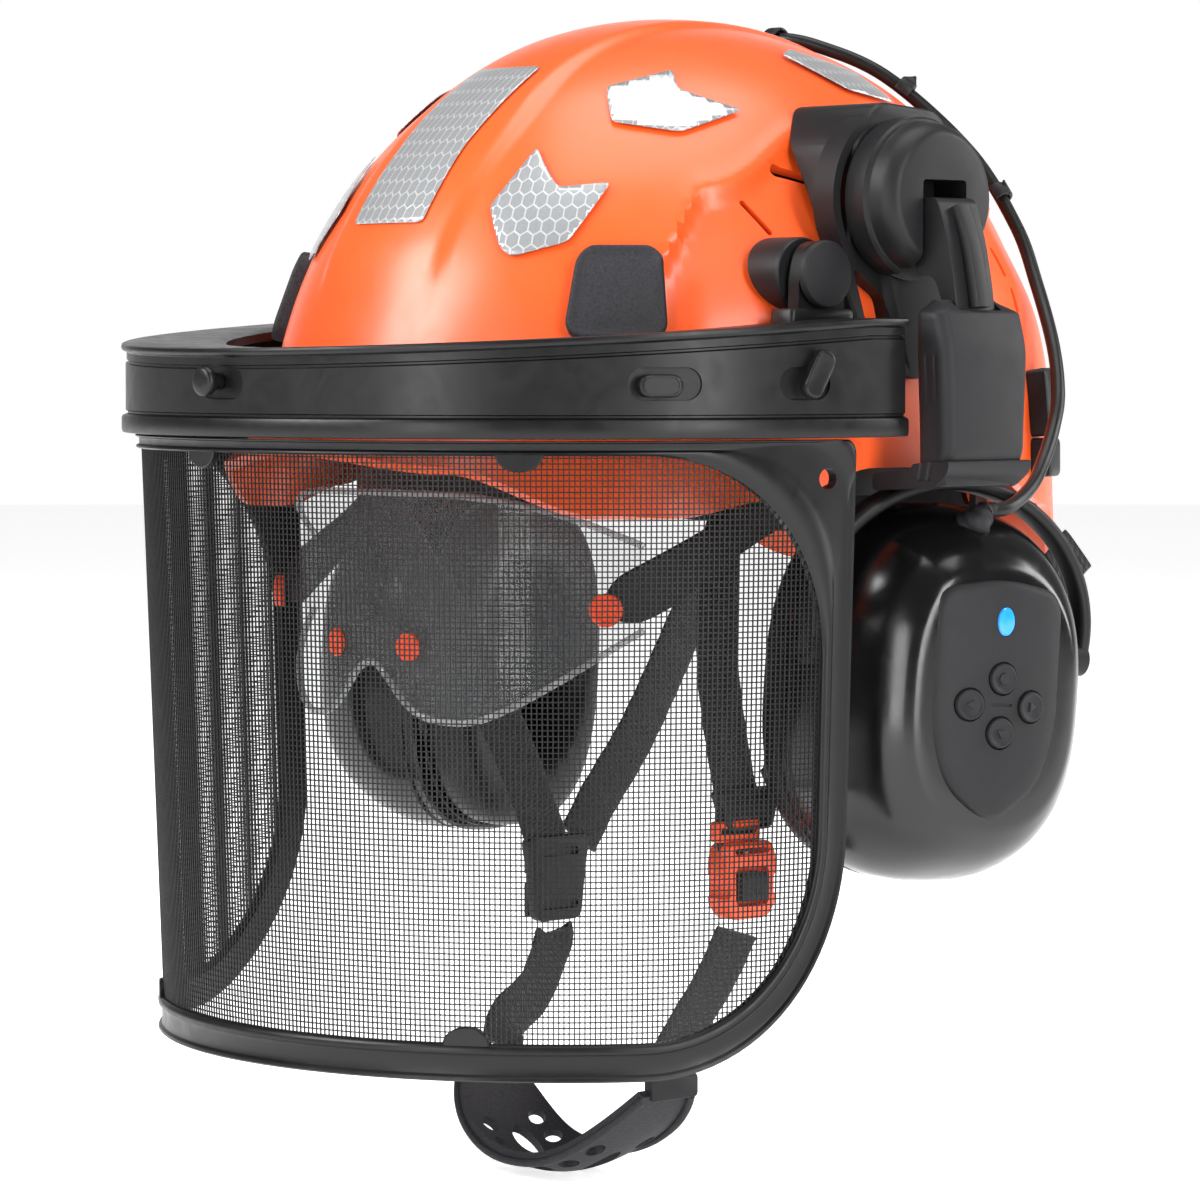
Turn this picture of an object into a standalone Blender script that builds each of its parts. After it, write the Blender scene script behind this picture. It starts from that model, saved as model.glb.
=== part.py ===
"""Forestry helmet with mesh visor, eye shield, ear muffs and chin strap.

Frame: metres, +Z up. The wearer faces -Y and the wearer's left is +X. The origin is the centre
of the head opening, level with the shell's rim above the ears. Sizes below are in millimetres,
and every point is turned into metres as its mesh is made.
"""

import math

import bmesh
import bpy
import numpy as np
from mathutils import Matrix, Vector

MM = 0.001
GAP = 0.4  # between pieces that touch

# Shell: an ellipsoid above the rim, with a peak in front and a deeper neck at the rear
SHELL_HALF_WIDTH = 104.0
SHELL_HALF_LENGTH = 123.0
SHELL_HEIGHT = 127.0
SHELL_FULLNESS = 0.2  # how far the rear's profile goes beyond an ellipse
SHELL_THICKNESS = 3.0
SHELL_COLUMNS = 48
SHELL_DOME_ROWS = 10
SHELL_SKIRT_ROWS = 4
RIM_HEIGHT = ((0, 6), (24, 1), (43, -12), (53, -13), (68, -8), (82, 0), (102, 0), (126, -12),
              (150, -33), (168, -40), (180, -40))
RIM_REACH = ((0, 18), (24, 14), (42, 9), (55, 2), (68, 0), (130, 0), (160, 4), (180, 5))
VENTS = ((-40.5, 70, 1.6, 8), (-21.5, 81, 17, 5), (57, 58, 4, 8), (59, 47, 4, 6))  # y, z, width, height
SKIRT_START = ((0, 24), (40, 18), (70, 6), (90, 3), (110, 3), (180, -4))

PAD_ANGLE = math.radians(45)
PAD_HEIGHT = 47.0

# Foam liner and head band
LINER_HALF_WIDTH = 93.0
LINER_HALF_LENGTH = 106.0
LINER_HEIGHT = 117.0
LINER_THICKNESS = 13.0
LINER_RIM = 24.0
BAND_HALF_WIDTH = 79.0
BAND_HALF_LENGTH = 97.0
BAND_LOW = -8.5
BAND_HIGH = 17.0
CRADLE_HALF_WIDTH = 88.0
CRADLE_HALF_LENGTH = 101.0
KNOB_RADIUS = 14.0
KNOB_HEIGHT = -10.0

# Mesh visor: its plan is a half circle round VISOR_CENTRE_Y, tapering inwards to the chin
VISOR_CENTRE_Y = -40.0
VISOR_RADIUS = 124.0
VISOR_TAPER = 0.035
VISOR_TOP = 33.0
VISOR_SKIRT_LOW = 9.0
VISOR_BOTTOM = -162.0
VISOR_REAR_RISE = 8.0
LEDGE_INNER_HALF_WIDTH = 101.0
LEDGE_INNER_LENGTH = 94.0
LEDGE_THICKNESS = 3.0
FRAME_BAR = 10.0
FRAME_THICKNESS = 4.0
FRAME_CORNER = 64.0
MESH_TOP_CORNER = 54.0
MESH_THICKNESS = 0.9
VISOR_PIVOT = (0.0, -38.0, 53.0)
PIVOT_DISC_X = 91.5
LUG_X = 99.5

# Inner eye shield
SHIELD_CENTRE_Y = -40.0
SHIELD_HALF_WIDTH = 82.0
SHIELD_LENGTH = 72.0
SHIELD_TOP = -7.0
SHIELD_BOTTOM = -70.0
SHIELD_THICKNESS = 2.0
SHIELD_PIVOT = (0.0, -10.0, 2.0)
SHIELD_ARM_ROUTE = ((69.5, -85.5, -38), (76, -72, -31), (80.5, -53, -20), (84.5, -32, -7), (86, -10, 2))

# Ear muffs, given for the wearer's left side
DISC_CENTRE = (0.0, -4.4, 74.0)
DISC_RADIUS = 22.5
DISC_INNER_X = 101.0
DISC_OUTER_X = 117.5
ARM_PIVOT = (111.0, -4.4, 62.0)
CUP_CENTRE = (102.0, 6.0, -63.0)
CUP_TOE = math.radians(13)
CUP_LEAN = math.radians(4)
CUP_HALF_WIDTH = 40.0
CUP_HALF_HEIGHT = 53.0
CUP_BACK = -13.0
CUP_FACE = 33.0
CUP_WALL = 3.0
CUP_PIVOT_Z = 11.0
CUSHION_FACE = -30.0
YOKE_W = 7.0
YOKE_RADIUS = 2.8

# Chin strap, given for the wearer's right side, and for the left side where the buckle hangs
STRAP_WIDTH = 16.0
STRAP_THICKNESS = 1.6
RIGHT_FRONT_STRAP = ((-77.5, -47, 8), (-76, -45, -10), (-69, -40, -29), (-61, -27, -54), (-57, -12, -84),
                     (-56, 1, -112))
RIGHT_REAR_STRAP = ((-76, 96, -26), (-70, 76, -50), (-61, 46, -84), (-57.5, 28, -102), (-56.5, 23, -107))
RIGHT_CHIN_STRAP = ((-55.5, 5, -144.4), (-55.2, 4.4, -148), (-48, -9, -160), (-40, -27, -167),
                    (-38.5, -30, -174.2))
LEFT_FRONT_STRAP = ((77.5, -47, 8), (76, -46, -10), (69.5, -44, -28), (63, -38, -58), (59, -29, -86))
LEFT_REAR_STRAP = ((76, 96, -26), (70, 76, -46), (60, 44, -70), (57, 8, -84), (57, -3, -87.5))
LEFT_CHIN_STRAP = ((56, -24, -132), (51, -28, -146), (43.5, -32, -160), (39, -34, -169), (38.5, -34.5, -175.4))
DIVIDER_CENTRE = (-56.0, 6.5, -128.0)
LEFT_DIVIDER_CENTRE = (58.0, -22.5, -97.0)
BUCKLE_CENTRE = (57.5, -23.5, -117.0)
CHIN_CUP_HALF_WIDTH = 40.0
CHIN_CUP_Y = -36.0
CHIN_CUP_DEPTH = 34.0
CHIN_CUP_TOP = -179.0
CHIN_CUP_DROP = 26.0

# Lead between the two cups, clipped along the back of the shell
LEAD_RADIUS = 2.0
LEAD_ROUTE = ((121, 8, -12.3), (122, 17, -11), (118, 30, -6), (112.5, 41, 1), (108, 50, 10), (103.5, 57, 20),
              (94, 65, 34), (79, 74, 52), (67, 78, 69), (50, 76, 91), (30, 62, 113), (13, 50, 122.5),
              (0, 45, 125))

CLIP_ANGLE = math.radians(121)
CLIP_HEIGHT = 15.0

# Control panel on the left cup
PANEL_HALF_WIDTH = 21.0
PANEL_TOP = 33.0
PANEL_SHOULDER = -8.0
PANEL_TIP = -33.0
BUTTON_RADIUS = 4.2
BUTTON_SPREAD = (10.0, 7.4)
BUTTON_CENTRE_Z = -1.5

PALETTE = {
    "shell_orange": ((1.0, 0.115, 0.012), 0.32, 0.0),
    "liner_foam": ((0.03, 0.03, 0.03), 0.9, 0.0),
    "black_plastic": ((0.012, 0.012, 0.013), 0.32, 0.0),
    "satin_plastic": ((0.02, 0.02, 0.021), 0.55, 0.0),
    "rubber": ((0.03, 0.03, 0.033), 0.75, 0.0),
    "webbing": ((0.015, 0.015, 0.016), 0.9, 0.0),
    "orange_plastic": ((0.95, 0.09, 0.01), 0.35, 0.0),
    "clear_lens": ((0.9, 0.92, 0.93), 0.05, 0.0),
    "wire_mesh": ((0.02, 0.02, 0.02), 0.5, 0.4),
    "cushion_vinyl": ((0.018, 0.018, 0.019), 0.5, 0.0),
    "led_blue": ((0.02, 0.25, 0.8), 0.25, 0.0),
    "metal": ((0.5, 0.5, 0.5), 0.35, 0.9),
    "circuit_green": ((0.02, 0.12, 0.04), 0.5, 0.0),
}


# ---------------------------------------------------------------- scene and materials


def clear_scene():
    for old in list(bpy.data.objects):
        bpy.data.objects.remove(old)


def make_collection(name, hidden=False):
    collection = bpy.data.collections.new(name)
    bpy.context.scene.collection.children.link(collection)
    collection.hide_render = hidden
    return collection


def make_material(name):
    colour, roughness, metallic = PALETTE[name]
    material = bpy.data.materials.new(name)
    material.use_nodes = True
    shader = material.node_tree.nodes["Principled BSDF"]
    shader.inputs["Base Color"].default_value = (*colour, 1.0)
    shader.inputs["Roughness"].default_value = roughness
    shader.inputs["Metallic"].default_value = metallic
    material.diffuse_color = (*colour, 1.0)
    return material


clear_scene()
HELMET = make_collection("forestry_helmet")
CUTTERS = make_collection("cutters", hidden=True)
MATERIALS = {name: make_material(name) for name in PALETTE}


# ---------------------------------------------------------------- modelling helpers


def add_object(name, mesh, material, collection=None):
    obj = bpy.data.objects.new(name, mesh)
    (collection or HELMET).objects.link(obj)
    if material:
        mesh.materials.append(MATERIALS[material])
    return obj


def object_from_bmesh(name, bm, material, collection=None, outward=True):
    """Takes a mesh drawn in millimetres and links it in metres."""
    if outward:
        bmesh.ops.recalc_face_normals(bm, faces=bm.faces)
    bmesh.ops.scale(bm, vec=(MM, MM, MM), verts=bm.verts)
    mesh = bpy.data.meshes.new(name)
    bm.to_mesh(mesh)
    bm.free()
    mesh.shade_smooth()
    mesh.set_sharp_from_angle(angle=math.radians(35))
    return add_object(name, mesh, material, collection)


def loft(name, rings, material, collection=None, closed=False):
    """Joins rings of equal count; closed joins the last to the first, otherwise both ends are capped."""
    bm = bmesh.new()
    verts = [[bm.verts.new(point) for point in ring] for ring in rings]
    count = len(rings[0])
    pairs = list(zip(verts, verts[1:])) + ([(verts[-1], verts[0])] if closed else [])
    for first, second in pairs:
        for i in range(count):
            j = (i + 1) % count
            bm.faces.new((first[i], first[j], second[j], second[i]))
    if not closed:
        bm.faces.new(verts[0])
        bm.faces.new(verts[-1])
    return object_from_bmesh(name, bm, material, collection)


def sheet(name, rows, material, thickness, wrap=False, crown=None, offset=-1.0):
    """An open surface of point rows, thickened by a Solidify modifier; crown closes the first row."""
    bm = bmesh.new()
    verts = [[bm.verts.new(point) for point in row] for row in rows]
    count = len(rows[0])
    for first, second in zip(verts, verts[1:]):
        for i in range(count if wrap else count - 1):
            j = (i + 1) % count
            bm.faces.new((first[i], second[i], second[j], first[j]))
    if crown:
        top = bm.verts.new(crown)
        for i in range(count):
            bm.faces.new((top, verts[0][i], verts[0][(i + 1) % count]))
    obj = object_from_bmesh(name, bm, material, outward=False)
    solid = obj.modifiers.new("thickness", "SOLIDIFY")
    solid.thickness = thickness * MM
    solid.offset = offset
    solid.use_even_offset = True
    return obj


def box(name, centre, size, material, bevel=0.0, turn=0.0, collection=None):
    bm = bmesh.new()
    bmesh.ops.create_cube(bm, size=1.0)
    bmesh.ops.scale(bm, vec=size, verts=bm.verts)
    bmesh.ops.rotate(bm, matrix=Matrix.Rotation(turn, 3, "Z"), verts=bm.verts)
    bmesh.ops.translate(bm, vec=centre, verts=bm.verts)
    obj = object_from_bmesh(name, bm, material, collection)
    if bevel:
        add_bevel(obj, bevel)
    return obj


def cylinder(name, centre, direction, radius, depth, material, segments=24, collection=None):
    bm = bmesh.new()
    bmesh.ops.create_cone(
        bm, cap_ends=True, segments=segments, radius1=radius, radius2=radius, depth=depth
    )
    turn = Vector((0, 0, 1)).rotation_difference(Vector(direction)).to_matrix()
    bmesh.ops.rotate(bm, matrix=turn, verts=bm.verts)
    bmesh.ops.translate(bm, vec=centre, verts=bm.verts)
    return object_from_bmesh(name, bm, material, collection)


def plate(name, outline, low_x, high_x, material, collection=None):
    """An outline in the YZ plane, extruded along X."""
    rings = [[(x, y, z) for y, z in outline] for x in (low_x, high_x)]
    return loft(name, rings, material, collection)


def add_bevel(obj, width, segments=2, angle=40):
    bevel = obj.modifiers.new("edges", "BEVEL")
    bevel.width = width * MM
    bevel.segments = segments
    bevel.limit_method = "ANGLE"
    bevel.angle_limit = math.radians(angle)


def applied(obj):
    """The object with its modifiers applied to its mesh."""
    bpy.context.view_layer.update()
    graph = bpy.context.evaluated_depsgraph_get()
    mesh = bpy.data.meshes.new_from_object(obj.evaluated_get(graph))
    obj.modifiers.clear()
    obj.data = mesh
    return obj


def boolean(obj, other, operation):
    step = obj.modifiers.new(operation.lower(), "BOOLEAN")
    step.operation = operation
    step.object = other
    if other.name not in CUTTERS.objects:
        HELMET.objects.unlink(other)
        CUTTERS.objects.link(other)
    other.hide_render = True
    other.display_type = "WIRE"
    return obj


def cut(obj, cutter):
    return boolean(obj, cutter, "DIFFERENCE")


def join(obj, other):
    return boolean(obj, other, "UNION")


def smooth_route(route, count):
    """Points evenly spread along a Catmull-Rom curve through the route."""
    points = [Vector(p) for p in route]
    padded = [2 * points[0] - points[1], *points, 2 * points[-1] - points[-2]]
    dense = []
    for a, b, c, d in zip(padded, padded[1:], padded[2:], padded[3:]):
        for t in np.linspace(0, 1, 24, endpoint=False):
            dense.append(
                0.5 * (2 * b + (c - a) * t + (2 * a - 5 * b + 4 * c - d) * t**2
                       + (3 * b - a - 3 * c + d) * t**3)
            )
    dense.append(points[-1])
    steps = [0.0]
    for p, q in zip(dense, dense[1:]):
        steps.append(steps[-1] + (q - p).length)
    wanted = np.linspace(0, steps[-1], count)
    return [Vector([np.interp(w, steps, [p[k] for p in dense]) for k in range(3)]) for w in wanted]


def tube(name, route, radius, material, count, resolution=2):
    curve = bpy.data.curves.new(name, "CURVE")
    curve.dimensions = "3D"
    curve.bevel_depth = radius * MM
    curve.bevel_resolution = resolution
    curve.use_fill_caps = True
    spline = curve.splines.new("POLY")
    points = smooth_route(route, count)
    spline.points.add(len(points) - 1)
    for target, point in zip(spline.points, points):
        target.co = (*(point * MM), 1.0)
    return add_object(name, curve, material)


def tube_mesh(name, route, radius, material, count):
    """A tube as a mesh, so that it can be cut or joined."""
    source = tube(name + "_path", route, radius, None, count)
    bpy.context.view_layer.update()
    graph = bpy.context.evaluated_depsgraph_get()
    mesh = bpy.data.meshes.new_from_object(source.evaluated_get(graph))
    bm = bmesh.new()
    bm.from_mesh(mesh)
    bmesh.ops.remove_doubles(bm, verts=bm.verts, dist=1e-6)
    bm.to_mesh(mesh)
    bm.free()
    mesh.materials.clear()
    bpy.data.objects.remove(source)
    return add_object(name, mesh, material)


def ribbon(name, route, width, thickness, material, count, face=(1, 0, 0)):
    """A flat strap along a route, with its flat side towards the face direction."""
    points = smooth_route(route, count)
    rings = []
    for i, point in enumerate(points):
        tangent = (points[min(i + 1, count - 1)] - points[max(i - 1, 0)]).normalized()
        across = tangent.cross(Vector(face)).normalized()
        normal = across.cross(tangent).normalized()
        side, out = across * width / 2, normal * thickness / 2
        rings.append([point - side - out, point + side - out, point + side + out, point - side + out])
    return loft(name, rings, material)


def pivot(name, location):
    """An empty on a joint's axis, which the moving pieces are parented to."""
    empty = bpy.data.objects.new(name, None)
    empty.location = Vector(location) * MM
    HELMET.objects.link(empty)
    return empty


def hang(piece, empty):
    piece.parent = empty
    piece.location = -empty.location


def read_table(table, degrees):
    """A smooth reading between the (angle, value) pairs of a table."""
    for (low, first), (high, second) in zip(table, table[1:]):
        if degrees <= high:
            t = (degrees - low) / (high - low)
            return first + (second - first) * t * t * (3 - 2 * t)
    return table[-1][1]


def mirrored(point, side):
    return (point[0] * side, point[1], point[2])


SIDES = (("left", 1), ("right", -1))


# ---------------------------------------------------------------- shell and what is inside it


def dome_point(angle, z, margin=0.0):
    """A point of the dome at this angle round from the front and at this height, swollen by margin."""
    power = 2 + SHELL_FULLNESS * (1 - math.cos(angle)) / 2
    share = min(1.0, max(z, 0) / (SHELL_HEIGHT + margin))
    round_ = (1 - share**power) ** (1 / power)
    x = math.sin(angle) * (SHELL_HALF_WIDTH + margin) * round_
    y = -math.cos(angle) * (SHELL_HALF_LENGTH + margin) * round_
    return (x, y, z)


def shell_row(angle, step):
    """A point of the shell's outer surface; step 0..1 runs down the dome, and 1..2 down the skirt."""
    degrees = abs(math.degrees(angle))
    start = read_table(SKIRT_START, degrees)
    rim = read_table(RIM_HEIGHT, degrees)
    if step <= 1:
        polar = step * math.acos(start / SHELL_HEIGHT)
        z = SHELL_HEIGHT * math.cos(polar)
        reach = 0.0
    else:
        z = start + (rim - start) * (step - 1)
        reach = read_table(RIM_REACH, degrees) * (step - 1) ** 1.5
    x, y, z = dome_point(angle, z)
    return (x + math.sin(angle) * reach, y - math.cos(angle) * reach, z)


def make_shell():
    angles = np.linspace(-math.pi, math.pi, SHELL_COLUMNS, endpoint=False)
    steps = [i / SHELL_DOME_ROWS for i in range(1, SHELL_DOME_ROWS + 1)]
    steps += [1 + i / SHELL_SKIRT_ROWS for i in range(1, SHELL_SKIRT_ROWS + 1)]
    rows = [[shell_row(a, s) for a in angles] for s in steps]
    shell = sheet("shell", rows, "shell_orange", SHELL_THICKNESS, wrap=True, crown=(0, 0, SHELL_HEIGHT))
    for side in (1, -1):
        for i, (y, z, width, height) in enumerate(VENTS):
            slot = box(f"vent_cutter_{side}_{i}", (side * 80, y, z), (90, width, height), None,
                       collection=CUTTERS)
            cut(shell, slot)
    return shell


def make_liner():
    angles = np.linspace(-math.pi, math.pi, 36, endpoint=False)
    rim = math.acos(LINER_RIM / LINER_HEIGHT)
    rows = []
    for polar in np.linspace(0, rim, 9)[1:]:
        rows.append([
            (
                math.sin(a) * LINER_HALF_WIDTH * math.sin(polar),
                -math.cos(a) * LINER_HALF_LENGTH * math.sin(polar),
                LINER_HEIGHT * math.cos(polar),
            )
            for a in angles
        ])
    sheet("liner", rows, "liner_foam", LINER_THICKNESS, wrap=True, crown=(0, 0, LINER_HEIGHT))


def band_arc(half_width, half_length, first, last, count):
    angles = np.radians(np.linspace(first, last, count))
    return [(math.sin(a) * half_width, -math.cos(a) * half_length) for a in angles]


def make_headband():
    arc = band_arc(BAND_HALF_WIDTH, BAND_HALF_LENGTH, -118, 118, 33)
    rows = [[(x, y, z) for x, y in arc] for z in (BAND_HIGH, BAND_LOW)]
    sheet("headband", rows, "satin_plastic", 2.0)
    pad = band_arc(BAND_HALF_WIDTH - 3.0, BAND_HALF_LENGTH - 3.0, -48, 48, 15)
    rows = [[(x, y, z) for x, y in pad] for z in (BAND_HIGH - 1, BAND_LOW + 1)]
    sheet("brow_pad", rows, "liner_foam", 5.0)


def make_cradle():
    arc = band_arc(CRADLE_HALF_WIDTH, CRADLE_HALF_LENGTH, 122, 238, 21)
    rows = [[(x, y, z) for x, y in arc] for z in (9.0, -26.0)]
    cradle = sheet("rear_cradle", rows, "satin_plastic", 2.0)
    slide = pivot("cradle_slide_axis", (0, CRADLE_HALF_LENGTH, KNOB_HEIGHT))
    hang(cradle, slide)
    knob = cylinder(
        "adjust_knob", (0, CRADLE_HALF_LENGTH + 6.5, KNOB_HEIGHT), (0, 1, 0), KNOB_RADIUS, 11.0,
        "satin_plastic", 20,
    )
    hang(knob, slide)


def shell_cutter(name, margin):
    """The outside of the shell's dome, swollen by margin, to cut a piece that sits on it."""
    angles = np.linspace(-math.pi, math.pi, 2 * SHELL_COLUMNS, endpoint=False)
    heights = [SHELL_HEIGHT * math.cos(polar) for polar in np.linspace(0.1, math.pi / 2, 16)] + [-20.0]
    rings = [[dome_point(a, z, margin) for a in angles] for z in heights]
    return loft(name, rings, None, CUTTERS)


def make_side_pad(name, side):
    """A ribbed rubber pad over the temple, following the dome."""
    margin_low, margin_high = 1.2, 4.6
    rings = []
    for margin in (margin_low, margin_high):
        ring = []
        for across, height in rounded_pad(13.0 if margin == margin_low else 12.0, 12.5, 6.0):
            width = across * (1 - 0.006 * (height + 12.5))
            angle = side * (PAD_ANGLE + width / 100.0)
            ring.append(dome_point(angle, PAD_HEIGHT + height, margin))
        rings.append(ring)
    loft(name, rings, "rubber")


def rounded_pad(half_width, half_height, radius, count=4):
    """A rectangle with rounded corners, as (across, height) pairs."""
    outline = []
    for sx, sy, start in ((1, 1, 0), (-1, 1, 90), (-1, -1, 180), (1, -1, 270)):
        for a in np.radians(np.linspace(start, start + 90, count)):
            outline.append((
                sx * (half_width - radius) + radius * math.cos(a),
                sy * (half_height - radius) + radius * math.sin(a),
            ))
    return outline


# ---------------------------------------------------------------- carriers on the shell's sides


def make_carrier(side, word):
    outline = [(-22, 90), (-12, 101), (12, 99), (24, 84), (24, 62), (17, 30), (-2, 24), (-17, 26),
               (-22, 36), (-24.5, 56), (-24, 72)]
    carrier = plate(f"carrier_{word}", outline, side * 60, side * 100, "satin_plastic")
    cut(carrier, shell_cutter(f"carrier_seat_{word}", 0.9))
    link_outline = [(-27.5, 57), (-40, 60), (-47, 57), (-49, 53), (-47, 48), (-40, 45), (-25.5, 47)]
    post = plate(f"visor_pivot_{word}", link_outline, side * PIVOT_DISC_X, side * (PIVOT_DISC_X + 6.5),
                 "satin_plastic")
    cut(post, shell_cutter(f"pivot_seat_{word}", 0.9))
    cut(post, cylinder(f"pivot_bore_{word}", (side * PIVOT_DISC_X, *VISOR_PIVOT[1:]), (1, 0, 0), 3.4, 40,
                       None, 16, CUTTERS))


# ---------------------------------------------------------------- mesh visor


def visor_point(along, z, inward=0.0):
    """A point of the visor's face: along is the arc length from the front, z the height."""
    radius = VISOR_RADIUS - VISOR_TAPER * (VISOR_TOP - z) - inward
    angle = along / VISOR_RADIUS
    return (radius * math.sin(angle), VISOR_CENTRE_Y - radius * math.cos(angle), z)


VISOR_HALF_ARC = VISOR_RADIUS * math.pi / 2 - 3.0


def frame_outline(inset, corner_low, corner_high, count=7, parts=(7, 6, 14, 6)):
    """The visor's developed outline as (along, height) pairs, set in from its edge.

    Between its rounded corners each side is split into parts, so that it can follow the visor's curve.
    """
    half, low, high = VISOR_HALF_ARC - inset, VISOR_BOTTOM + inset, VISOR_SKIRT_LOW - 0.5 - inset * 0.4
    corners = []
    for sx, edge, sz, radius, start in (
        (1, high, -1, corner_high, 0), (-1, high, -1, corner_high, 90),
        (-1, low, 1, corner_low, 180), (1, low, 1, corner_low, 270),
    ):
        corners.append([
            (
                sx * (half - radius) + radius * math.cos(a),
                edge + sz * radius + radius * math.sin(a),
            )
            for a in np.radians(np.linspace(start, start + 90, count))
        ])
    outline = []
    for corner, following, split in zip(corners, corners[1:] + corners[:1], parts):
        outline += corner
        (x0, z0), (x1, z1) = corner[-1], following[0]
        outline += [(x0 + (x1 - x0) * i / split, z0 + (z1 - z0) * i / split) for i in range(1, split)]
    return outline


def make_visor():
    hinge = pivot("visor_axis", VISOR_PIVOT)
    frame = make_visor_frame()
    hang(frame, hinge)
    hang(make_visor_mesh(), hinge)
    bracket = make_visor_bracket()
    hang(bracket, hinge)
    stud = cylinder("front_stud", visor_normal_point(0, 24, 5.3), visor_normal(0), 4.0, 4.0,
                    "black_plastic", 16)
    hang(stud, hinge)
    for word, side in SIDES:
        angle = side * math.radians(60)
        boss = box(f"side_stud_{word}", visor_normal_point(angle, 23, 4.8), (12, 2.8, 6), "black_plastic",
                   turn=angle)
        hang(boss, hinge)
        angle = side * math.radians(80)
        centre = visor_normal_point(angle, 26, 5.4)
        axis = pivot(f"visor_lever_axis_{word}", centre)
        lever = box(f"visor_lever_{word}", centre, (6.5, 3.8, 14), "black_plastic", 1.2, turn=angle)
        hang(lever, axis)


def visor_normal(angle):
    return (math.sin(angle), -math.cos(angle), 0)


def visor_normal_point(angle, z, outward):
    radius = VISOR_RADIUS - VISOR_TAPER * (VISOR_TOP - z) + outward
    return (radius * math.sin(angle), VISOR_CENTRE_Y - radius * math.cos(angle), z)


def make_visor_frame():
    """The frame round the mesh: its outline lofted over a flat bar section."""
    outer = frame_outline(0.0, FRAME_CORNER, 4.0)
    inner = frame_outline(FRAME_BAR, FRAME_CORNER - FRAME_BAR, MESH_TOP_CORNER)
    rings = []
    for outline, depth in ((outer, 0.0), (inner, 0.0), (inner, FRAME_THICKNESS), (outer, FRAME_THICKNESS)):
        rings.append([visor_point(along, z, depth + 0.5) for along, z in outline])
    return loft("visor_frame", rings, "black_plastic", closed=True)


def mesh_limits(along):
    """The lowest and highest point of the mesh at this arc length."""
    inset = FRAME_BAR + GAP
    half, low, high = VISOR_HALF_ARC - inset, VISOR_BOTTOM + inset, VISOR_SKIRT_LOW - 0.5 - inset * 0.4 - GAP
    result = []
    for radius in (FRAME_CORNER - FRAME_BAR, MESH_TOP_CORNER):
        over = max(0.0, abs(along) - (half - radius))
        result.append(radius - math.sqrt(max(0.0, radius**2 - over**2)))
    return low + result[0], high - result[1]


def make_visor_mesh():
    half = VISOR_HALF_ARC - FRAME_BAR - GAP - 0.6
    turn = FRAME_CORNER - FRAME_BAR
    straight = np.linspace(0, half - turn, 10)
    corner = half - turn + turn * np.sin(np.linspace(0, math.pi / 2, 9)[1:])
    positive = [*straight, *corner]
    stations = [-s for s in reversed(positive[1:])] + positive
    rings = []
    for along in stations:
        low, high = mesh_limits(along)
        depth = 2.0
        rings.append([
            visor_point(along, low + 0.8, depth), visor_point(along, high - 0.8, depth),
            visor_point(along, high - 0.8, depth + MESH_THICKNESS),
            visor_point(along, low + 0.8, depth + MESH_THICKNESS),
        ])
    return loft("visor_mesh", rings, "wire_mesh")


def make_visor_bracket():
    """The ledge round the brow, its skirt over the frame's top, and a lug at each end for the hinge."""
    rings = []
    for degrees in np.linspace(-96, 96, 41):
        angle = math.radians(degrees)
        sin, cos = math.sin(angle), math.cos(angle)
        rise = VISOR_REAR_RISE * (1 - cos) if abs(degrees) <= 90 else VISOR_REAR_RISE
        top = VISOR_TOP + rise
        outer = Vector((VISOR_RADIUS * sin, VISOR_CENTRE_Y - VISOR_RADIUS * cos, 0))
        inner = Vector((LEDGE_INNER_HALF_WIDTH * sin, VISOR_CENTRE_Y - LEDGE_INNER_LENGTH * cos, 0))
        out = Vector((sin, -cos, 0))
        up = Vector((0, 0, 1))
        rings.append([
            inner + up * top,
            outer + out * 2.5 + up * top,
            outer + out * 2.5 + up * VISOR_SKIRT_LOW,
            outer + up * VISOR_SKIRT_LOW,
            outer + up * (top - LEDGE_THICKNESS),
            inner + up * (top - LEDGE_THICKNESS),
        ])
    bracket = loft("visor_bracket", rings, "black_plastic")
    for word, side in SIDES:
        lug = [(-31, 38), (-29, 53), (-32, 60), (-38, 62), (-44, 60), (-47, 53), (-47, 37)]
        join(bracket, plate(f"visor_lug_{word}", lug, side * LUG_X, side * (LUG_X + 4), None))
        pin = cylinder(f"visor_pin_{word}", (side * (LUG_X - 2), *VISOR_PIVOT[1:]), (1, 0, 0), 3.0, 8, None, 16)
        join(bracket, pin)
    return applied(bracket)


# ---------------------------------------------------------------- inner eye shield


def shield_point(x, z, inward=0.0):
    width, length = SHIELD_HALF_WIDTH - inward, SHIELD_LENGTH - inward
    angle = math.asin(x / SHIELD_HALF_WIDTH)
    return (width * math.sin(angle), SHIELD_CENTRE_Y - length * math.cos(angle), z)


def shield_limits(x):
    """The lens's lowest and highest point at this distance from the middle."""
    share = abs(x) / 72.0
    top = SHIELD_TOP - 14 * share**4
    nose = 16 * math.exp(-((x / 13.0) ** 2))
    low = SHIELD_BOTTOM + nose + 26 * max(0.0, share - 0.45) ** 1.6 / 0.55**1.6
    return low, top


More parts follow.
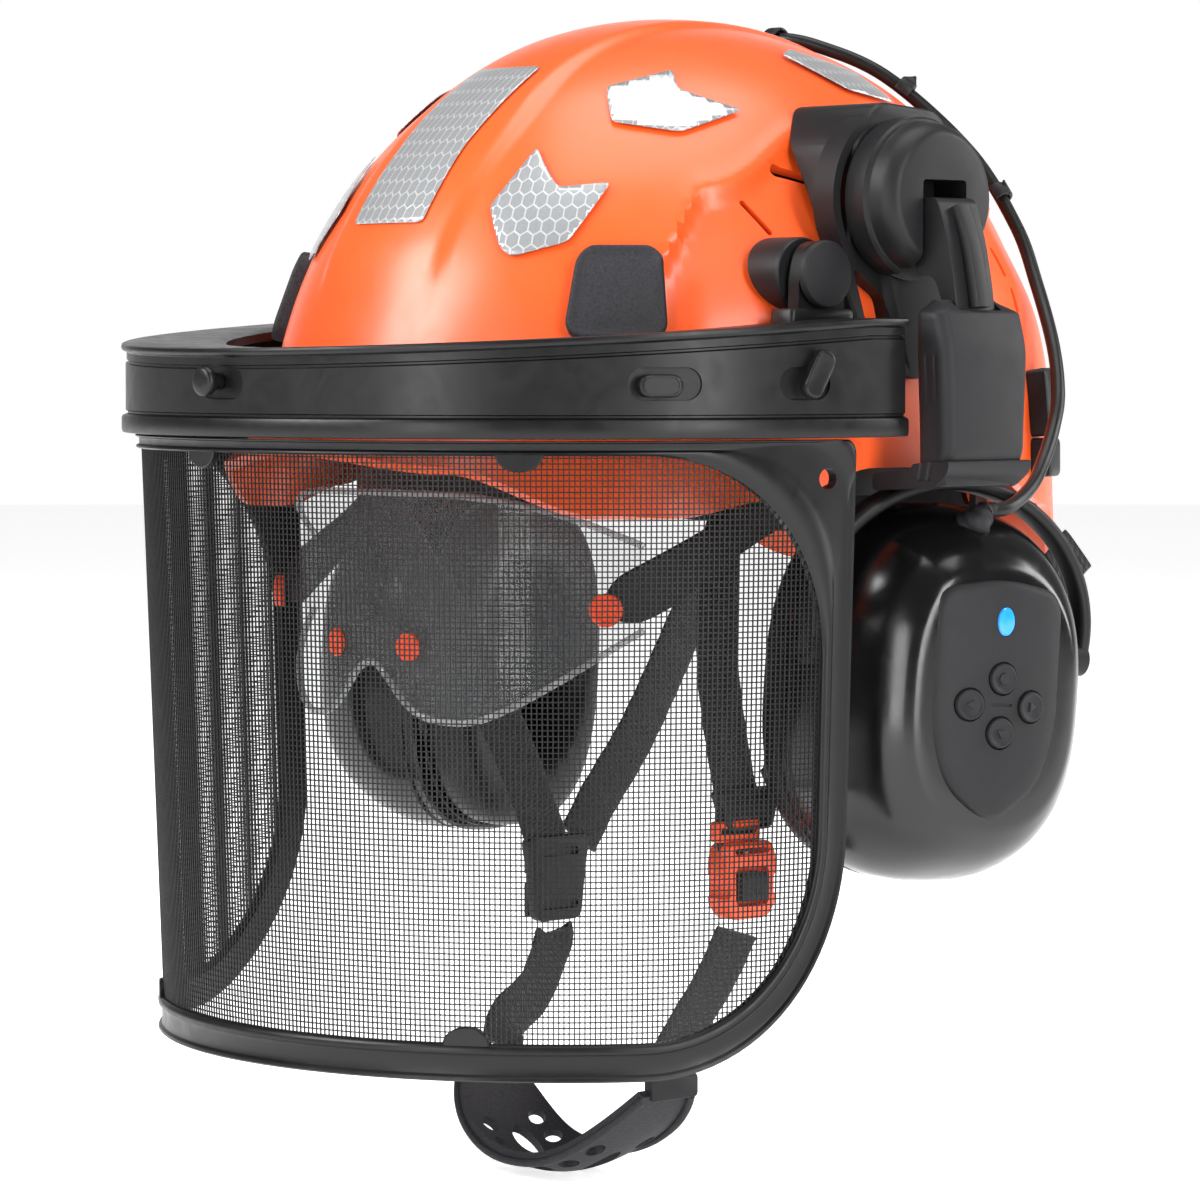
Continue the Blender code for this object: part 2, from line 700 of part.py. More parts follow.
def make_shield():
    hinge = pivot("shield_axis", SHIELD_PIVOT)
    rings = []
    for x in np.linspace(-72, 72, 33):
        low, high = shield_limits(x)
        rings.append([
            shield_point(x, low), shield_point(x, high),
            shield_point(x, high, SHIELD_THICKNESS), shield_point(x, low, SHIELD_THICKNESS),
        ])
    lens = loft("shield_lens", rings, "clear_lens")
    hang(lens, hinge)
    bridge = sheet(
        "nose_bridge",
        [[shield_point(x, z + 5 * math.cos(x / 9), SHIELD_THICKNESS + 0.4) for x in np.linspace(-20, 20, 9)]
         for z in (-46, -60)],
        "black_plastic", 3.0,
    )
    hang(bridge, hinge)
    for word, side in SIDES:
        route = [mirrored(p, side) for p in SHIELD_ARM_ROUTE]
        arm = ribbon(f"shield_arm_{word}", route, 15.0, 2.4, "black_plastic", 9, (side, -0.5, 0))
        hang(arm, hinge)
        spot = Vector(shield_point(side * 66, -38))
        out = Vector((side * 0.72, -0.69, 0)).normalized()
        rivet = cylinder(f"temple_rivet_{word}", spot + out * 7.3, out, 4.6, 2.4, "orange_plastic", 16)
        hang(rivet, hinge)


# ---------------------------------------------------------------- ear muffs


def cup_point(side, w, f, z):
    """A point in the cup's own frame: w outwards, f to the rear, z up, toed in and leant."""
    f, z = f * math.cos(CUP_LEAN) + z * math.sin(CUP_LEAN), z * math.cos(CUP_LEAN) - f * math.sin(CUP_LEAN)
    x = CUP_CENTRE[0] + w * math.cos(CUP_TOE) + f * math.sin(CUP_TOE)
    y = CUP_CENTRE[1] - w * math.sin(CUP_TOE) + f * math.cos(CUP_TOE)
    return (side * x, y, CUP_CENTRE[2] + z)


def cup_direction(side, w, f, z):
    return tuple(Vector(cup_point(side, w, f, z)) - Vector(cup_point(side, 0, 0, 0)))


def oval(half_width, half_height, power=2.6, count=28):
    """A rounded, slightly square outline as (f, z) pairs."""
    outline = []
    for a in np.linspace(0, 2 * math.pi, count, endpoint=False):
        c, s = math.cos(a), math.sin(a)
        outline.append((
            half_width * math.copysign(abs(c) ** (2 / power), c),
            half_height * math.copysign(abs(s) ** (2 / power), s),
        ))
    return outline


CUP_SECTIONS = ((CUP_BACK, 1.0), (-4, 1.0), (4, 0.985), (12, 0.945), (20, 0.88), (27, 0.785), (CUP_FACE, 0.66))


def cup_ring(side, w, scale, shrink=0.0):
    return [
        cup_point(side, w, f, z)
        for f, z in oval(CUP_HALF_WIDTH * scale - shrink, CUP_HALF_HEIGHT * scale - shrink)
    ]


def make_cup(side, word):
    """The hollow cup: outer rings to the face, then inner rings back to its open rim."""
    outside = [cup_ring(side, w, scale) for w, scale in CUP_SECTIONS]
    inside = [
        cup_ring(side, min(w, CUP_FACE - CUP_WALL), scale, CUP_WALL) for w, scale in reversed(CUP_SECTIONS)
    ]
    bm = bmesh.new()
    outer = [[bm.verts.new(p) for p in ring] for ring in outside]
    inner = [[bm.verts.new(p) for p in ring] for ring in inside]
    rings = outer + [None] + inner
    count = len(outside[0])
    for first, second in zip(rings, rings[1:]):
        if first is None or second is None:
            continue
        for i in range(count):
            j = (i + 1) % count
            bm.faces.new((first[i], first[j], second[j], second[i]))
    bm.faces.new(outer[-1])
    bm.faces.new(inner[0])
    for i in range(count):
        j = (i + 1) % count
        bm.faces.new((outer[0][i], outer[0][j], inner[-1][j], inner[-1][i]))
    return object_from_bmesh(f"cup_{word}", bm, "black_plastic")


def make_cushion(side, word):
    """The ring-shaped ear cushion on the cup's rim."""
    low, high = CUSHION_FACE, CUP_BACK - GAP
    section = ((low + 3, 0.97), (low, 0.88), (low, 0.66), (low + 4, 0.56), (high, 0.56), (high, 0.97))
    rings = [cup_ring(side, w, scale) for w, scale in section]
    return loft(f"ear_cushion_{word}", rings, "cushion_vinyl", closed=True)


def make_swivel(side, word):
    spin = pivot(f"swivel_axis_{word}", mirrored((DISC_INNER_X, *DISC_CENTRE[1:]), side))
    centre = (side * (DISC_INNER_X + DISC_OUTER_X) / 2, *DISC_CENTRE[1:])
    disc = cylinder(f"swivel_disc_{word}", centre, (1, 0, 0), DISC_RADIUS, DISC_OUTER_X - DISC_INNER_X,
                    "satin_plastic", 32)
    x, y, z = ARM_PIVOT
    slot = box(f"disc_slot_{word}", (side * (x + 16), y, z - 6), (44, 17, 46), None, collection=CUTTERS)
    cut(disc, slot)
    add_bevel(disc, 1.0, 1)
    hang(disc, spin)


def make_arm(side, word):
    """The sprung arm from the disc down into the yoke's sleeve."""
    hinge = pivot(f"arm_axis_{word}", mirrored(ARM_PIVOT, side))
    y = ARM_PIVOT[1]
    outline = [(113, 74), (122, 74), (126, 62), (130, 40), (130, 8), (126, 8), (126, 38), (121, 52),
               (113, 54)]
    rings = [[(side * px, y + dy, pz) for px, pz in outline] for dy in (-7.5, 7.5)]
    arm = loft(f"muff_arm_{word}", rings, "satin_plastic")
    hang(arm, hinge)


def make_yoke(side, word):
    """The sleeve on the arm and the fork that holds the cup's two pivots."""
    y = ARM_PIVOT[1]
    outline = [(121.5, 42), (134, 46), (136, 30), (135.5, 2), (129, -5), (106, -6), (106, -1),
               (121.5, 1)]
    rings = [[(side * px, y + dy, pz) for px, pz in outline] for dy in (-16.5, 16.5)]
    yoke = loft(f"muff_yoke_{word}", rings, "satin_plastic")
    channel = box(f"sleeve_channel_{word}", (side * 127.5, y, 34), (7.5, 16.4, 62), None, collection=CUTTERS)
    cut(yoke, channel)
    route = []
    for degrees in np.linspace(-12, 192, 13):
        a = math.radians(degrees)
        z = 19 + (CUP_HALF_HEIGHT + 5.5 - 19) * math.sin(a) if math.sin(a) > 0 else 19 + 40 * math.sin(a)
        route.append(cup_point(side, YOKE_W, (CUP_HALF_WIDTH + 5.2) * math.cos(a), z))
    fork = tube_mesh(f"fork_{word}", route, YOKE_RADIUS, None, 22)
    join(yoke, fork)
    return yoke


def make_muff(side, word):
    make_swivel(side, word)
    make_arm(side, word)
    slide = pivot(f"yoke_slide_axis_{word}", mirrored((128, ARM_PIVOT[1], 20), side))
    hang(make_yoke(side, word), slide)
    tilt = pivot(f"cup_axis_{word}", cup_point(side, YOKE_W, 0, CUP_PIVOT_Z))
    hang(make_cup(side, word), tilt)
    hang(make_cushion(side, word), tilt)
    speaker = cylinder(f"speaker_{word}", cup_point(side, -4, 0, 0), cup_direction(side, 1, 0, 0), 20, 8,
                       "satin_plastic", 24)
    hang(speaker, tilt)
    return tilt


def oriented_plate(name, side, outline, low_w, high_w, material):
    rings = [[cup_point(side, w, f, z) for f, z in outline] for w in (low_w, high_w)]
    return loft(name, rings, material)


def make_controls(tilt):
    """The shield-shaped panel on the left cup, with four buttons round its middle and a lamp above."""
    outline = [(-PANEL_HALF_WIDTH, PANEL_TOP - 3), (0, PANEL_TOP), (PANEL_HALF_WIDTH, PANEL_TOP - 3),
               (PANEL_HALF_WIDTH, PANEL_SHOULDER), (15, -24), (5, PANEL_TIP), (-5, PANEL_TIP), (-15, -24),
               (-PANEL_HALF_WIDTH, PANEL_SHOULDER)]
    low = CUP_FACE + GAP
    panel = oriented_plate("control_panel", 1, outline, low, low + 3.0, "satin_plastic")
    spots = {
        "up": (0, BUTTON_SPREAD[1]), "down": (0, -BUTTON_SPREAD[1]),
        "front": (-BUTTON_SPREAD[0], 0), "rear": (BUTTON_SPREAD[0], 0),
    }
    out = cup_direction(1, 1, 0, 0)
    for word, (f, z) in spots.items():
        centre = cup_point(1, low + 3.0, f, z + BUTTON_CENTRE_Z)
        cut(panel, cylinder(f"button_well_{word}", centre, out, BUTTON_RADIUS + 0.4, 4.0, None, 20, CUTTERS))
        middle = cup_point(1, low + 3.0, f, z + BUTTON_CENTRE_Z)
        travel = pivot(f"button_axis_{word}", middle)
        button = cylinder(f"button_{word}", Vector(middle) + Vector(out) * 0.25, out, BUTTON_RADIUS, 2.0,
                          "satin_plastic", 16)
        hang(button, travel)
    lamp_centre = cup_point(1, low + 3.0, 0, 21.5)
    cut(panel, cylinder("lamp_well", lamp_centre, out, 3.6, 3.0, None, 20, CUTTERS))
    lamp = cylinder("status_lamp", Vector(lamp_centre) - Vector(out) * 0.2, out, 3.2, 1.6, "led_blue", 16)
    hang(lamp, tilt)
    hang(panel, tilt)
    board = oriented_plate("circuit_board", 1, oval(22, 26, 3, 16), 12, 13.6, "circuit_green")
    hang(board, tilt)


# ---------------------------------------------------------------- chin strap and lead


def make_straps():
    routes = {
        "front_strap_right": (RIGHT_FRONT_STRAP, 10), "rear_strap_right": (RIGHT_REAR_STRAP, 10),
        "chin_strap_right": (RIGHT_CHIN_STRAP, 8), "front_strap_left": (LEFT_FRONT_STRAP, 8),
        "rear_strap_left": (LEFT_REAR_STRAP, 10), "chin_strap_left": (LEFT_CHIN_STRAP, 8),
    }
    for name, (route, count) in routes.items():
        side = 1 if name.endswith("left") else -1
        ribbon(name, route, STRAP_WIDTH, STRAP_THICKNESS, "webbing", count, (side, 0, 0))
    box("strap_divider_right", DIVIDER_CENTRE, (4.6, 26, 26), "satin_plastic", 1.2)
    box("strap_divider_left", LEFT_DIVIDER_CENTRE, (4.6, 26, 12), "satin_plastic", 1.2)
    x, y, z = BUCKLE_CENTRE
    buckle = box("buckle_body", (x, y, z), (9, 20, 22), "orange_plastic", 2.0)
    cut(buckle, box("buckle_window", (x + 4, y, z - 2), (6, 12, 12), None, collection=CUTTERS))
    release = box("buckle_release", (x + 4.0, y, z - 1.6), (4, 11, 8), "black_plastic", 1.0)
    hang(release, pivot("release_axis", (x + 4.0, y, z - 1.6)))


def chin_cup_rows():
    rows = []
    for across in np.linspace(-0.5, 0.5, 7):
        row = []
        for share in np.linspace(-1, 1, 15):
            x = CHIN_CUP_HALF_WIDTH * share
            y = CHIN_CUP_Y + CHIN_CUP_DEPTH * across - 6 * (1 - share**2)
            hollow = 5.0 * (2 * across) ** 2
            z = CHIN_CUP_TOP - CHIN_CUP_DROP * (1 - abs(share) ** 2.2) + hollow * (1 - share**2)
            row.append((x, y, z))
        rows.append(row)
    return rows


def make_chin_cup():
    sheet("chin_cup", chin_cup_rows(), "rubber", 3.0, offset=-1.0)


def make_lead():
    """The lead from the left cup, over the back of the shell, to the right cup."""
    route = [*LEAD_ROUTE, *(mirrored(p, -1) for p in reversed(LEAD_ROUTE[:-1]))]
    tube("link_cable", route, LEAD_RADIUS, "rubber", 70)
    for word, side in SIDES:
        rings = []
        for margin in (1.2, 6.0):
            rings.append([
                dome_point(side * (CLIP_ANGLE + across / 110.0), CLIP_HEIGHT + height, margin)
                for across, height in rounded_pad(5.0, 12.0, 2.0)
            ])
        loft(f"rear_clip_{word}", rings, "satin_plastic")


make_shell()
make_liner()
make_headband()
make_cradle()
for side_word, side_sign in SIDES:
    make_side_pad(f"side_pad_{side_word}", side_sign)
    make_carrier(side_sign, side_word)
make_visor()
make_shield()
cup_tilts = {word: make_muff(side, word) for word, side in SIDES}
make_controls(cup_tilts["left"])
battery = oriented_plate("battery", -1, rounded_pad(16, 24, 3), 8, 15, "metal")
hang(battery, cup_tilts["right"])
make_straps()
make_chin_cup()
make_lead()
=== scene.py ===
"""The looks of the forestry helmet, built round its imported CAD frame.

The wearer faces -Y and the wearer's left is +X. Sizes are in millimetres, and every mesh is turned
into metres as it is made. Surfaces that the CAD also has are given here by the same formulas.
"""

import math

import bmesh
import bpy
import numpy as np
from mathutils import Matrix, Vector


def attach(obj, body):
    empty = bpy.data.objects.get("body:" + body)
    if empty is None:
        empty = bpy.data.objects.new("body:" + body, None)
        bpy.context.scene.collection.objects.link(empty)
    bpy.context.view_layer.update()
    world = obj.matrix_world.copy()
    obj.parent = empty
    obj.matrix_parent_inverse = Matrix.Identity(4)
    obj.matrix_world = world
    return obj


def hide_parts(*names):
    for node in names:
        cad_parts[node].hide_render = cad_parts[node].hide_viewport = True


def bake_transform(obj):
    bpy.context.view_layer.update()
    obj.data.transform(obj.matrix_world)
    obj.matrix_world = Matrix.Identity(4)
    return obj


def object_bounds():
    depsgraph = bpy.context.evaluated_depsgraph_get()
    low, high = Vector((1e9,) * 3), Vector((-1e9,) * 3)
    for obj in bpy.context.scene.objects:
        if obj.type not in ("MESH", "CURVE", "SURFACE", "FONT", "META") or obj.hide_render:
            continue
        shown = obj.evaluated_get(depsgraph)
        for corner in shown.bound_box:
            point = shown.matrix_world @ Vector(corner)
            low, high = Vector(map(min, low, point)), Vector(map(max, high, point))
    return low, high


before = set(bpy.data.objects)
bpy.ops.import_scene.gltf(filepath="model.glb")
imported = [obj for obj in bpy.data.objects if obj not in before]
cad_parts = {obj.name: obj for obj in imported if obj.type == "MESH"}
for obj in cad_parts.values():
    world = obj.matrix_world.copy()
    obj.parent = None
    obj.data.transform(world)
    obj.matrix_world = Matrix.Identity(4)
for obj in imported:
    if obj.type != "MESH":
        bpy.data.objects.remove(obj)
cad_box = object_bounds()

MM = 0.001
SIDES = (("left", "l", 1), ("right", "r", -1))

# The shell, as in the CAD
SHELL_HALF_WIDTH = 104.0
SHELL_HALF_LENGTH = 123.0
SHELL_HEIGHT = 127.0
SHELL_FULLNESS = 0.2
SHELL_THICKNESS = 3.0
RIM_HEIGHT = ((0, 6), (24, 1), (43, -12), (53, -13), (68, -8), (82, 0), (102, 0), (126, -12),
              (150, -33), (168, -40), (180, -40))
RIM_REACH = ((0, 18), (24, 14), (42, 9), (55, 2), (68, 0), (130, 0), (160, 4), (180, 5))
SKIRT_START = ((0, 24), (40, 18), (70, 6), (90, 3), (110, 3), (180, -4))
CREASE = ((44, 40), (48, 50), (59, 77), (82, 94), (120, 92), (150, 75), (165, 60))
CREASE_DEPTH = 2.2
BAND_RISE = 1.6

# The visor, as in the CAD
VISOR_CENTRE_Y = -40.0
VISOR_RADIUS = 124.0
VISOR_TAPER = 0.035
VISOR_TOP = 33.0
VISOR_SKIRT_LOW = 9.0
VISOR_BOTTOM = -162.0
VISOR_REAR_RISE = 8.0
VISOR_HALF_ARC = VISOR_RADIUS * math.pi / 2 - 3.0
FRAME_BAR = 10.0
FRAME_CORNER = 64.0
MESH_TOP_CORNER = 54.0
MESH_PITCH = 1.5
WIRE_RADIUS = 0.2

# The eye shield, as in the CAD
SHIELD_CENTRE_Y = -40.0
SHIELD_HALF_WIDTH = 82.0
SHIELD_LENGTH = 72.0

# The ear muffs, as in the CAD
ARM_PIVOT = (111.0, -4.4, 62.0)
DISC_CENTRE = (-4.4, 74.0)
CUP_CENTRE = (102.0, 6.0, -63.0)
CUP_TOE = math.radians(13)
CUP_LEAN = math.radians(4)
CUP_HALF_WIDTH = 40.0
CUP_HALF_HEIGHT = 53.0


# ---------------------------------------------------------------- modelling helpers


def read_table(table, value):
    """A smooth reading between the pairs of a table."""
    if value <= table[0][0]:
        return table[0][1]
    for (low, first), (high, second) in zip(table, table[1:]):
        if value <= high:
            t = (value - low) / (high - low)
            return first + (second - first) * t * t * (3 - 2 * t)
    return table[-1][1]


def smooth(low, high, value):
    t = min(1.0, max(0.0, (value - low) / (high - low)))
    return t * t * (3 - 2 * t)


def link_bmesh(name, bm, finish, outward=True, sharp=35):
    if outward:
        bmesh.ops.recalc_face_normals(bm, faces=bm.faces)
    bmesh.ops.scale(bm, vec=(MM, MM, MM), verts=bm.verts)
    mesh = bpy.data.meshes.new(name)
    bm.to_mesh(mesh)
    bm.free()
    mesh.shade_smooth()
    mesh.set_sharp_from_angle(angle=math.radians(sharp))
    mesh.materials.append(finish)
    obj = bpy.data.objects.new(name, mesh)
    bpy.context.scene.collection.objects.link(obj)
    return obj


def bridge(bm, rings, closed_ring=True, closed_loop=False):
    count = len(rings[0])
    pairs = list(zip(rings, rings[1:])) + ([(rings[-1], rings[0])] if closed_loop else [])
    for first, second in pairs:
        for i in range(count if closed_ring else count - 1):
            j = (i + 1) % count
            bm.faces.new((first[i], second[i], second[j], first[j]))


def loft(name, rings, finish, closed_loop=False, sharp=35):
    """A closed solid through rings of equal count."""
    bm = bmesh.new()
    verts = [[bm.verts.new(p) for p in ring] for ring in rings]
    bridge(bm, verts, closed_loop=closed_loop)
    if not closed_loop:
        bm.faces.new(verts[0])
        bm.faces.new(verts[-1])
    return link_bmesh(name, bm, finish, sharp=sharp)


def sheet(name, rows, finish, thickness, wrap=False, crown=None, offset=-1.0):
    """An open surface of point rows, thickened by a Solidify modifier."""
    bm = bmesh.new()
    verts = [[bm.verts.new(p) for p in row] for row in rows]
    bridge(bm, verts, closed_ring=wrap)
    if crown:
        top = bm.verts.new(crown)
        count = len(rows[0])
        for i in range(count):
            bm.faces.new((top, verts[0][i], verts[0][(i + 1) % count]))
    obj = link_bmesh(name, bm, finish, outward=False)
    solid = obj.modifiers.new("thickness", "SOLIDIFY")
    solid.thickness = thickness * MM
    solid.offset = offset
    return obj


def stack(name, outline, place, levels, finish, sharp=35):
    """A raised form: the outline, scaled and lifted at each level, through place(u, v, height)."""
    rings = [[place(u * scale, v * scale, height) for u, v in outline] for scale, height in levels]
    return loft(name, rings, finish, sharp=sharp)


def extruded(name, outline, low, high, finish, place):
    return loft(name, [[place(a, b, h) for a, b in outline] for h in (low, high)], finish)


def applied(obj):
    graph = bpy.context.evaluated_depsgraph_get()
    mesh = bpy.data.meshes.new_from_object(obj.evaluated_get(graph))
    obj.modifiers.clear()
    obj.data = mesh
    return obj


def bevel(obj, width, segments=3, angle=30):
    step = obj.modifiers.new("edges", "BEVEL")
    step.width = width * MM
    step.segments = segments
    step.limit_method = "ANGLE"
    step.angle_limit = math.radians(angle)
    step.harden_normals = True
    return obj


def boolean(obj, others, operation="DIFFERENCE"):
    for other in others:
        step = obj.modifiers.new("boolean", "BOOLEAN")
        step.operation = operation
        step.solver = "MANIFOLD"
        step.object = other
    applied(obj)
    for other in others:
        bpy.data.objects.remove(other)
    obj.data.shade_smooth()
    obj.data.set_sharp_from_angle(angle=math.radians(35))
    return obj


def arc(radius_u, radius_v, first, last, count, centre=(0.0, 0.0)):
    """Points of an ellipse's arc, from first to last degrees."""
    return [
        (centre[0] + radius_u * math.cos(a), centre[1] + radius_v * math.sin(a))
        for a in np.radians(np.linspace(first, last, count))
    ]


def rounded(half_width, half_height, radius, count=7):
    outline = []
    for sx, sy, start in ((1, 1, 0), (-1, 1, 90), (-1, -1, 180), (1, -1, 270)):
        centre = (sx * (half_width - radius), sy * (half_height - radius))
        outline += arc(radius, radius, start, start + 90, count, centre)
    return outline


def softened(corners, radius, count=5):
    """A polygon with each corner rounded by a curve that starts and ends at this distance from it."""
    outline = []
    points = [Vector(c) for c in corners]
    for before, corner, after in zip(points[-1:] + points, points, points[1:] + points[:1]):
        start = corner + (before - corner).normalized() * min(radius, (before - corner).length / 2.1)
        end = corner + (after - corner).normalized() * min(radius, (after - corner).length / 2.1)
        for t in np.linspace(0, 1, count):
            outline.append(tuple((1 - t) ** 2 * start + 2 * t * (1 - t) * corner + t * t * end))
    return outline


def smooth_route(route, count):
    """Points evenly spread along a Catmull-Rom curve through the route."""
    points = [Vector(p) for p in route]
    padded = [2 * points[0] - points[1], *points, 2 * points[-1] - points[-2]]
    dense = []
    for a, b, c, d in zip(padded, padded[1:], padded[2:], padded[3:]):
        for t in np.linspace(0, 1, 24, endpoint=False):
            dense.append(
                0.5 * (2 * b + (c - a) * t + (2 * a - 5 * b + 4 * c - d) * t**2
                       + (3 * b - a - 3 * c + d) * t**3)
            )
    dense.append(points[-1])
    steps = [0.0]
    for p, q in zip(dense, dense[1:]):
        steps.append(steps[-1] + (q - p).length)
    wanted = np.linspace(0, steps[-1], count)
    return [Vector([np.interp(w, steps, [p[k] for p in dense]) for k in range(3)]) for w in wanted]


def sweep(name, points, section, finish, face=(1, 0, 0), sharp=35):
    """A section of (across, out) points, or a function of the point's number, carried along points."""
    rings = []
    last = len(points) - 1
    for i, point in enumerate(points):
        tangent = (points[min(i + 1, last)] - points[max(i - 1, 0)]).normalized()
        across = tangent.cross(Vector(face)).normalized()
        out = across.cross(tangent).normalized()
        shape = section(i) if callable(section) else section
        rings.append([point + across * a + out * o for a, o in shape])
    return loft(name, rings, finish, sharp=sharp)


def tube(name, points, radius, finish, sides=14):
    return sweep(name, points, arc(radius, radius, 0, 360 - 360 / sides, sides), finish, face=(0.3, 0.2, 1))


def add_flat_map(obj, function):
    """A texture map in centimetres, from a function of each point in millimetres."""
    layer = obj.data.uv_layers.new(name="surface")
    for loop in obj.data.loops:
        u, v = function(obj.data.vertices[loop.vertex_index].co / MM)
        layer.data[loop.index].uv = (u / 10, v / 10)


def ride(obj, body, slot, *nodes):
    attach(obj, body)
    if nodes:
        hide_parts(*nodes)
    return obj


def on_side(point, side):
    return (point[0] * side, point[1], point[2])


# ---------------------------------------------------------------- materials


def add(tree, kind, inputs=None, **settings):
    """A shader node, with its sockets set to values or linked to other nodes' outputs."""
    node = tree.nodes.new(kind)
    for key, value in settings.items():
        setattr(node, key, value)
    for key, value in (inputs or {}).items():
        if isinstance(value, bpy.types.NodeSocket):
            tree.links.new(value, node.inputs[key])
        else:
            node.inputs[key].default_value = value
    return node


def start_material(name, roughness, **constants):
    finish = bpy.data.materials.new(name)
    finish.use_nodes = True
    tree = finish.node_tree
    shader = tree.nodes["Principled BSDF"]
    shader.inputs["Roughness"].default_value = roughness
    for key, value in constants.items():
        shader.inputs[key.replace("_", " ")].default_value = value
    place = add(tree, "ShaderNodeTexCoord").outputs["Object"]
    return finish, tree, shader, place


def tint(tree, shader, factor, first, second):
    mix = add(tree, "ShaderNodeMix", data_type="RGBA")
    mix.inputs["A"].default_value = (*first, 1)
    mix.inputs["B"].default_value = (*second, 1)
    tree.links.new(factor, mix.inputs["Factor"])
    tree.links.new(mix.outputs["Result"], shader.inputs["Base Color"])


def spread_roughness(tree, shader, value, low, high):
    span = add(tree, "ShaderNodeMapRange", {"Value": value, "To Min": low, "To Max": high})
    tree.links.new(span.outputs["Result"], shader.inputs["Roughness"])


def emboss(tree, shader, height, depth):
    """Bump of this depth in millimetres."""
    bump = add(tree, "ShaderNodeBump", {"Height": height, "Distance": depth * MM, "Strength": 1.0})
    tree.links.new(bump.outputs["Normal"], shader.inputs["Normal"])


def moulded(name, colour, roughness, grain=900.0, depth=0.02, change=0.25, scuffs=0.0, **constants):
    """Moulded plastic: cloudy colour, uneven gloss, a fine grain and faint scuffs."""
    finish, tree, shader, place = start_material(name, roughness, **constants)
    cloud = add(tree, "ShaderNodeTexNoise", {"Vector": place, "Scale": 35.0, "Detail": 5.0})
    tint(tree, shader, cloud.outputs["Fac"], [c * (1 - change) for c in colour],
         [min(1.0, c * (1 + change)) for c in colour])
    rub = add(tree, "ShaderNodeTexNoise", {"Vector": place, "Scale": 90.0, "Detail": 8.0, "Distortion": 1.5})
    spread_roughness(tree, shader, rub.outputs["Fac"], roughness - 0.09, roughness + 0.09 + scuffs)
    fine = add(tree, "ShaderNodeTexNoise", {"Vector": place, "Scale": grain, "Detail": 3.0})
    emboss(tree, shader, fine.outputs["Fac"], depth)
    return finish


def pebbled(name, colour, roughness, cell, depth, **constants):
    """Leather-like cells: rubber pads and the cushions' vinyl, with painted shade in the hollows between the
    cells and painted light on their raised tops.
    """
    finish, tree, shader, place = start_material(name, roughness, **constants)
    cells = add(tree, "ShaderNodeTexVoronoi", {"Vector": place, "Scale": 1000.0 / cell}, feature="SMOOTH_F1")
    cloud = add(tree, "ShaderNodeTexNoise", {"Vector": place, "Scale": 60.0, "Detail": 4.0})
    # painted shade: the colour follows the bump, darker in the hollows between the cells and lighter on their
    # raised tops
    tint(tree, shader, cells.outputs["Distance"], [c * 1.5 for c in colour], [c * 0.5 for c in colour])
    spread_roughness(tree, shader, cloud.outputs["Fac"], roughness - 0.08, roughness + 0.08)
    turned = add(tree, "ShaderNodeMath", {0: 1.0, 1: cells.outputs["Distance"]}, operation="SUBTRACT")
    emboss(tree, shader, turned.outputs["Value"], depth)
    return finish


def woven(name, colour):
    """Strap webbing: herringbone ribs over the strap's own map, which is in centimetres, with painted shade
    in the weave's grooves and painted light on its raised ribs.
    """
    finish, tree, shader, place = start_material(name, 0.85, Sheen_Weight=0.35, Sheen_Roughness=0.4)
    flat = add(tree, "ShaderNodeUVMap", uv_map="surface").outputs["UV"]
    ribs = add(tree, "ShaderNodeTexWave", {"Vector": flat, "Scale": 2.1, "Distortion": 0.5, "Detail": 1.0},
               bands_direction="DIAGONAL")
    rows = add(tree, "ShaderNodeTexWave", {"Vector": flat, "Scale": 2.6, "Distortion": 0.3},
               bands_direction="Y")
    crossed = add(tree, "ShaderNodeMath", {0: ribs.outputs["Fac"], 1: rows.outputs["Fac"]},
                  operation="MULTIPLY")
    fluff = add(tree, "ShaderNodeTexNoise", {"Vector": place, "Scale": 2500.0, "Detail": 3.0})
    # painted shade: the colour follows the bump, darker in the grooves of the weave and lighter on its raised
    # ribs
    tint(tree, shader, crossed.outputs["Value"], [c * 0.5 for c in colour], [c * 2.0 for c in colour])
    both = add(tree, "ShaderNodeMath", {0: crossed.outputs["Value"], 1: fluff.outputs["Fac"]},
               operation="ADD")
    emboss(tree, shader, both.outputs["Value"], 0.22)
    return finish


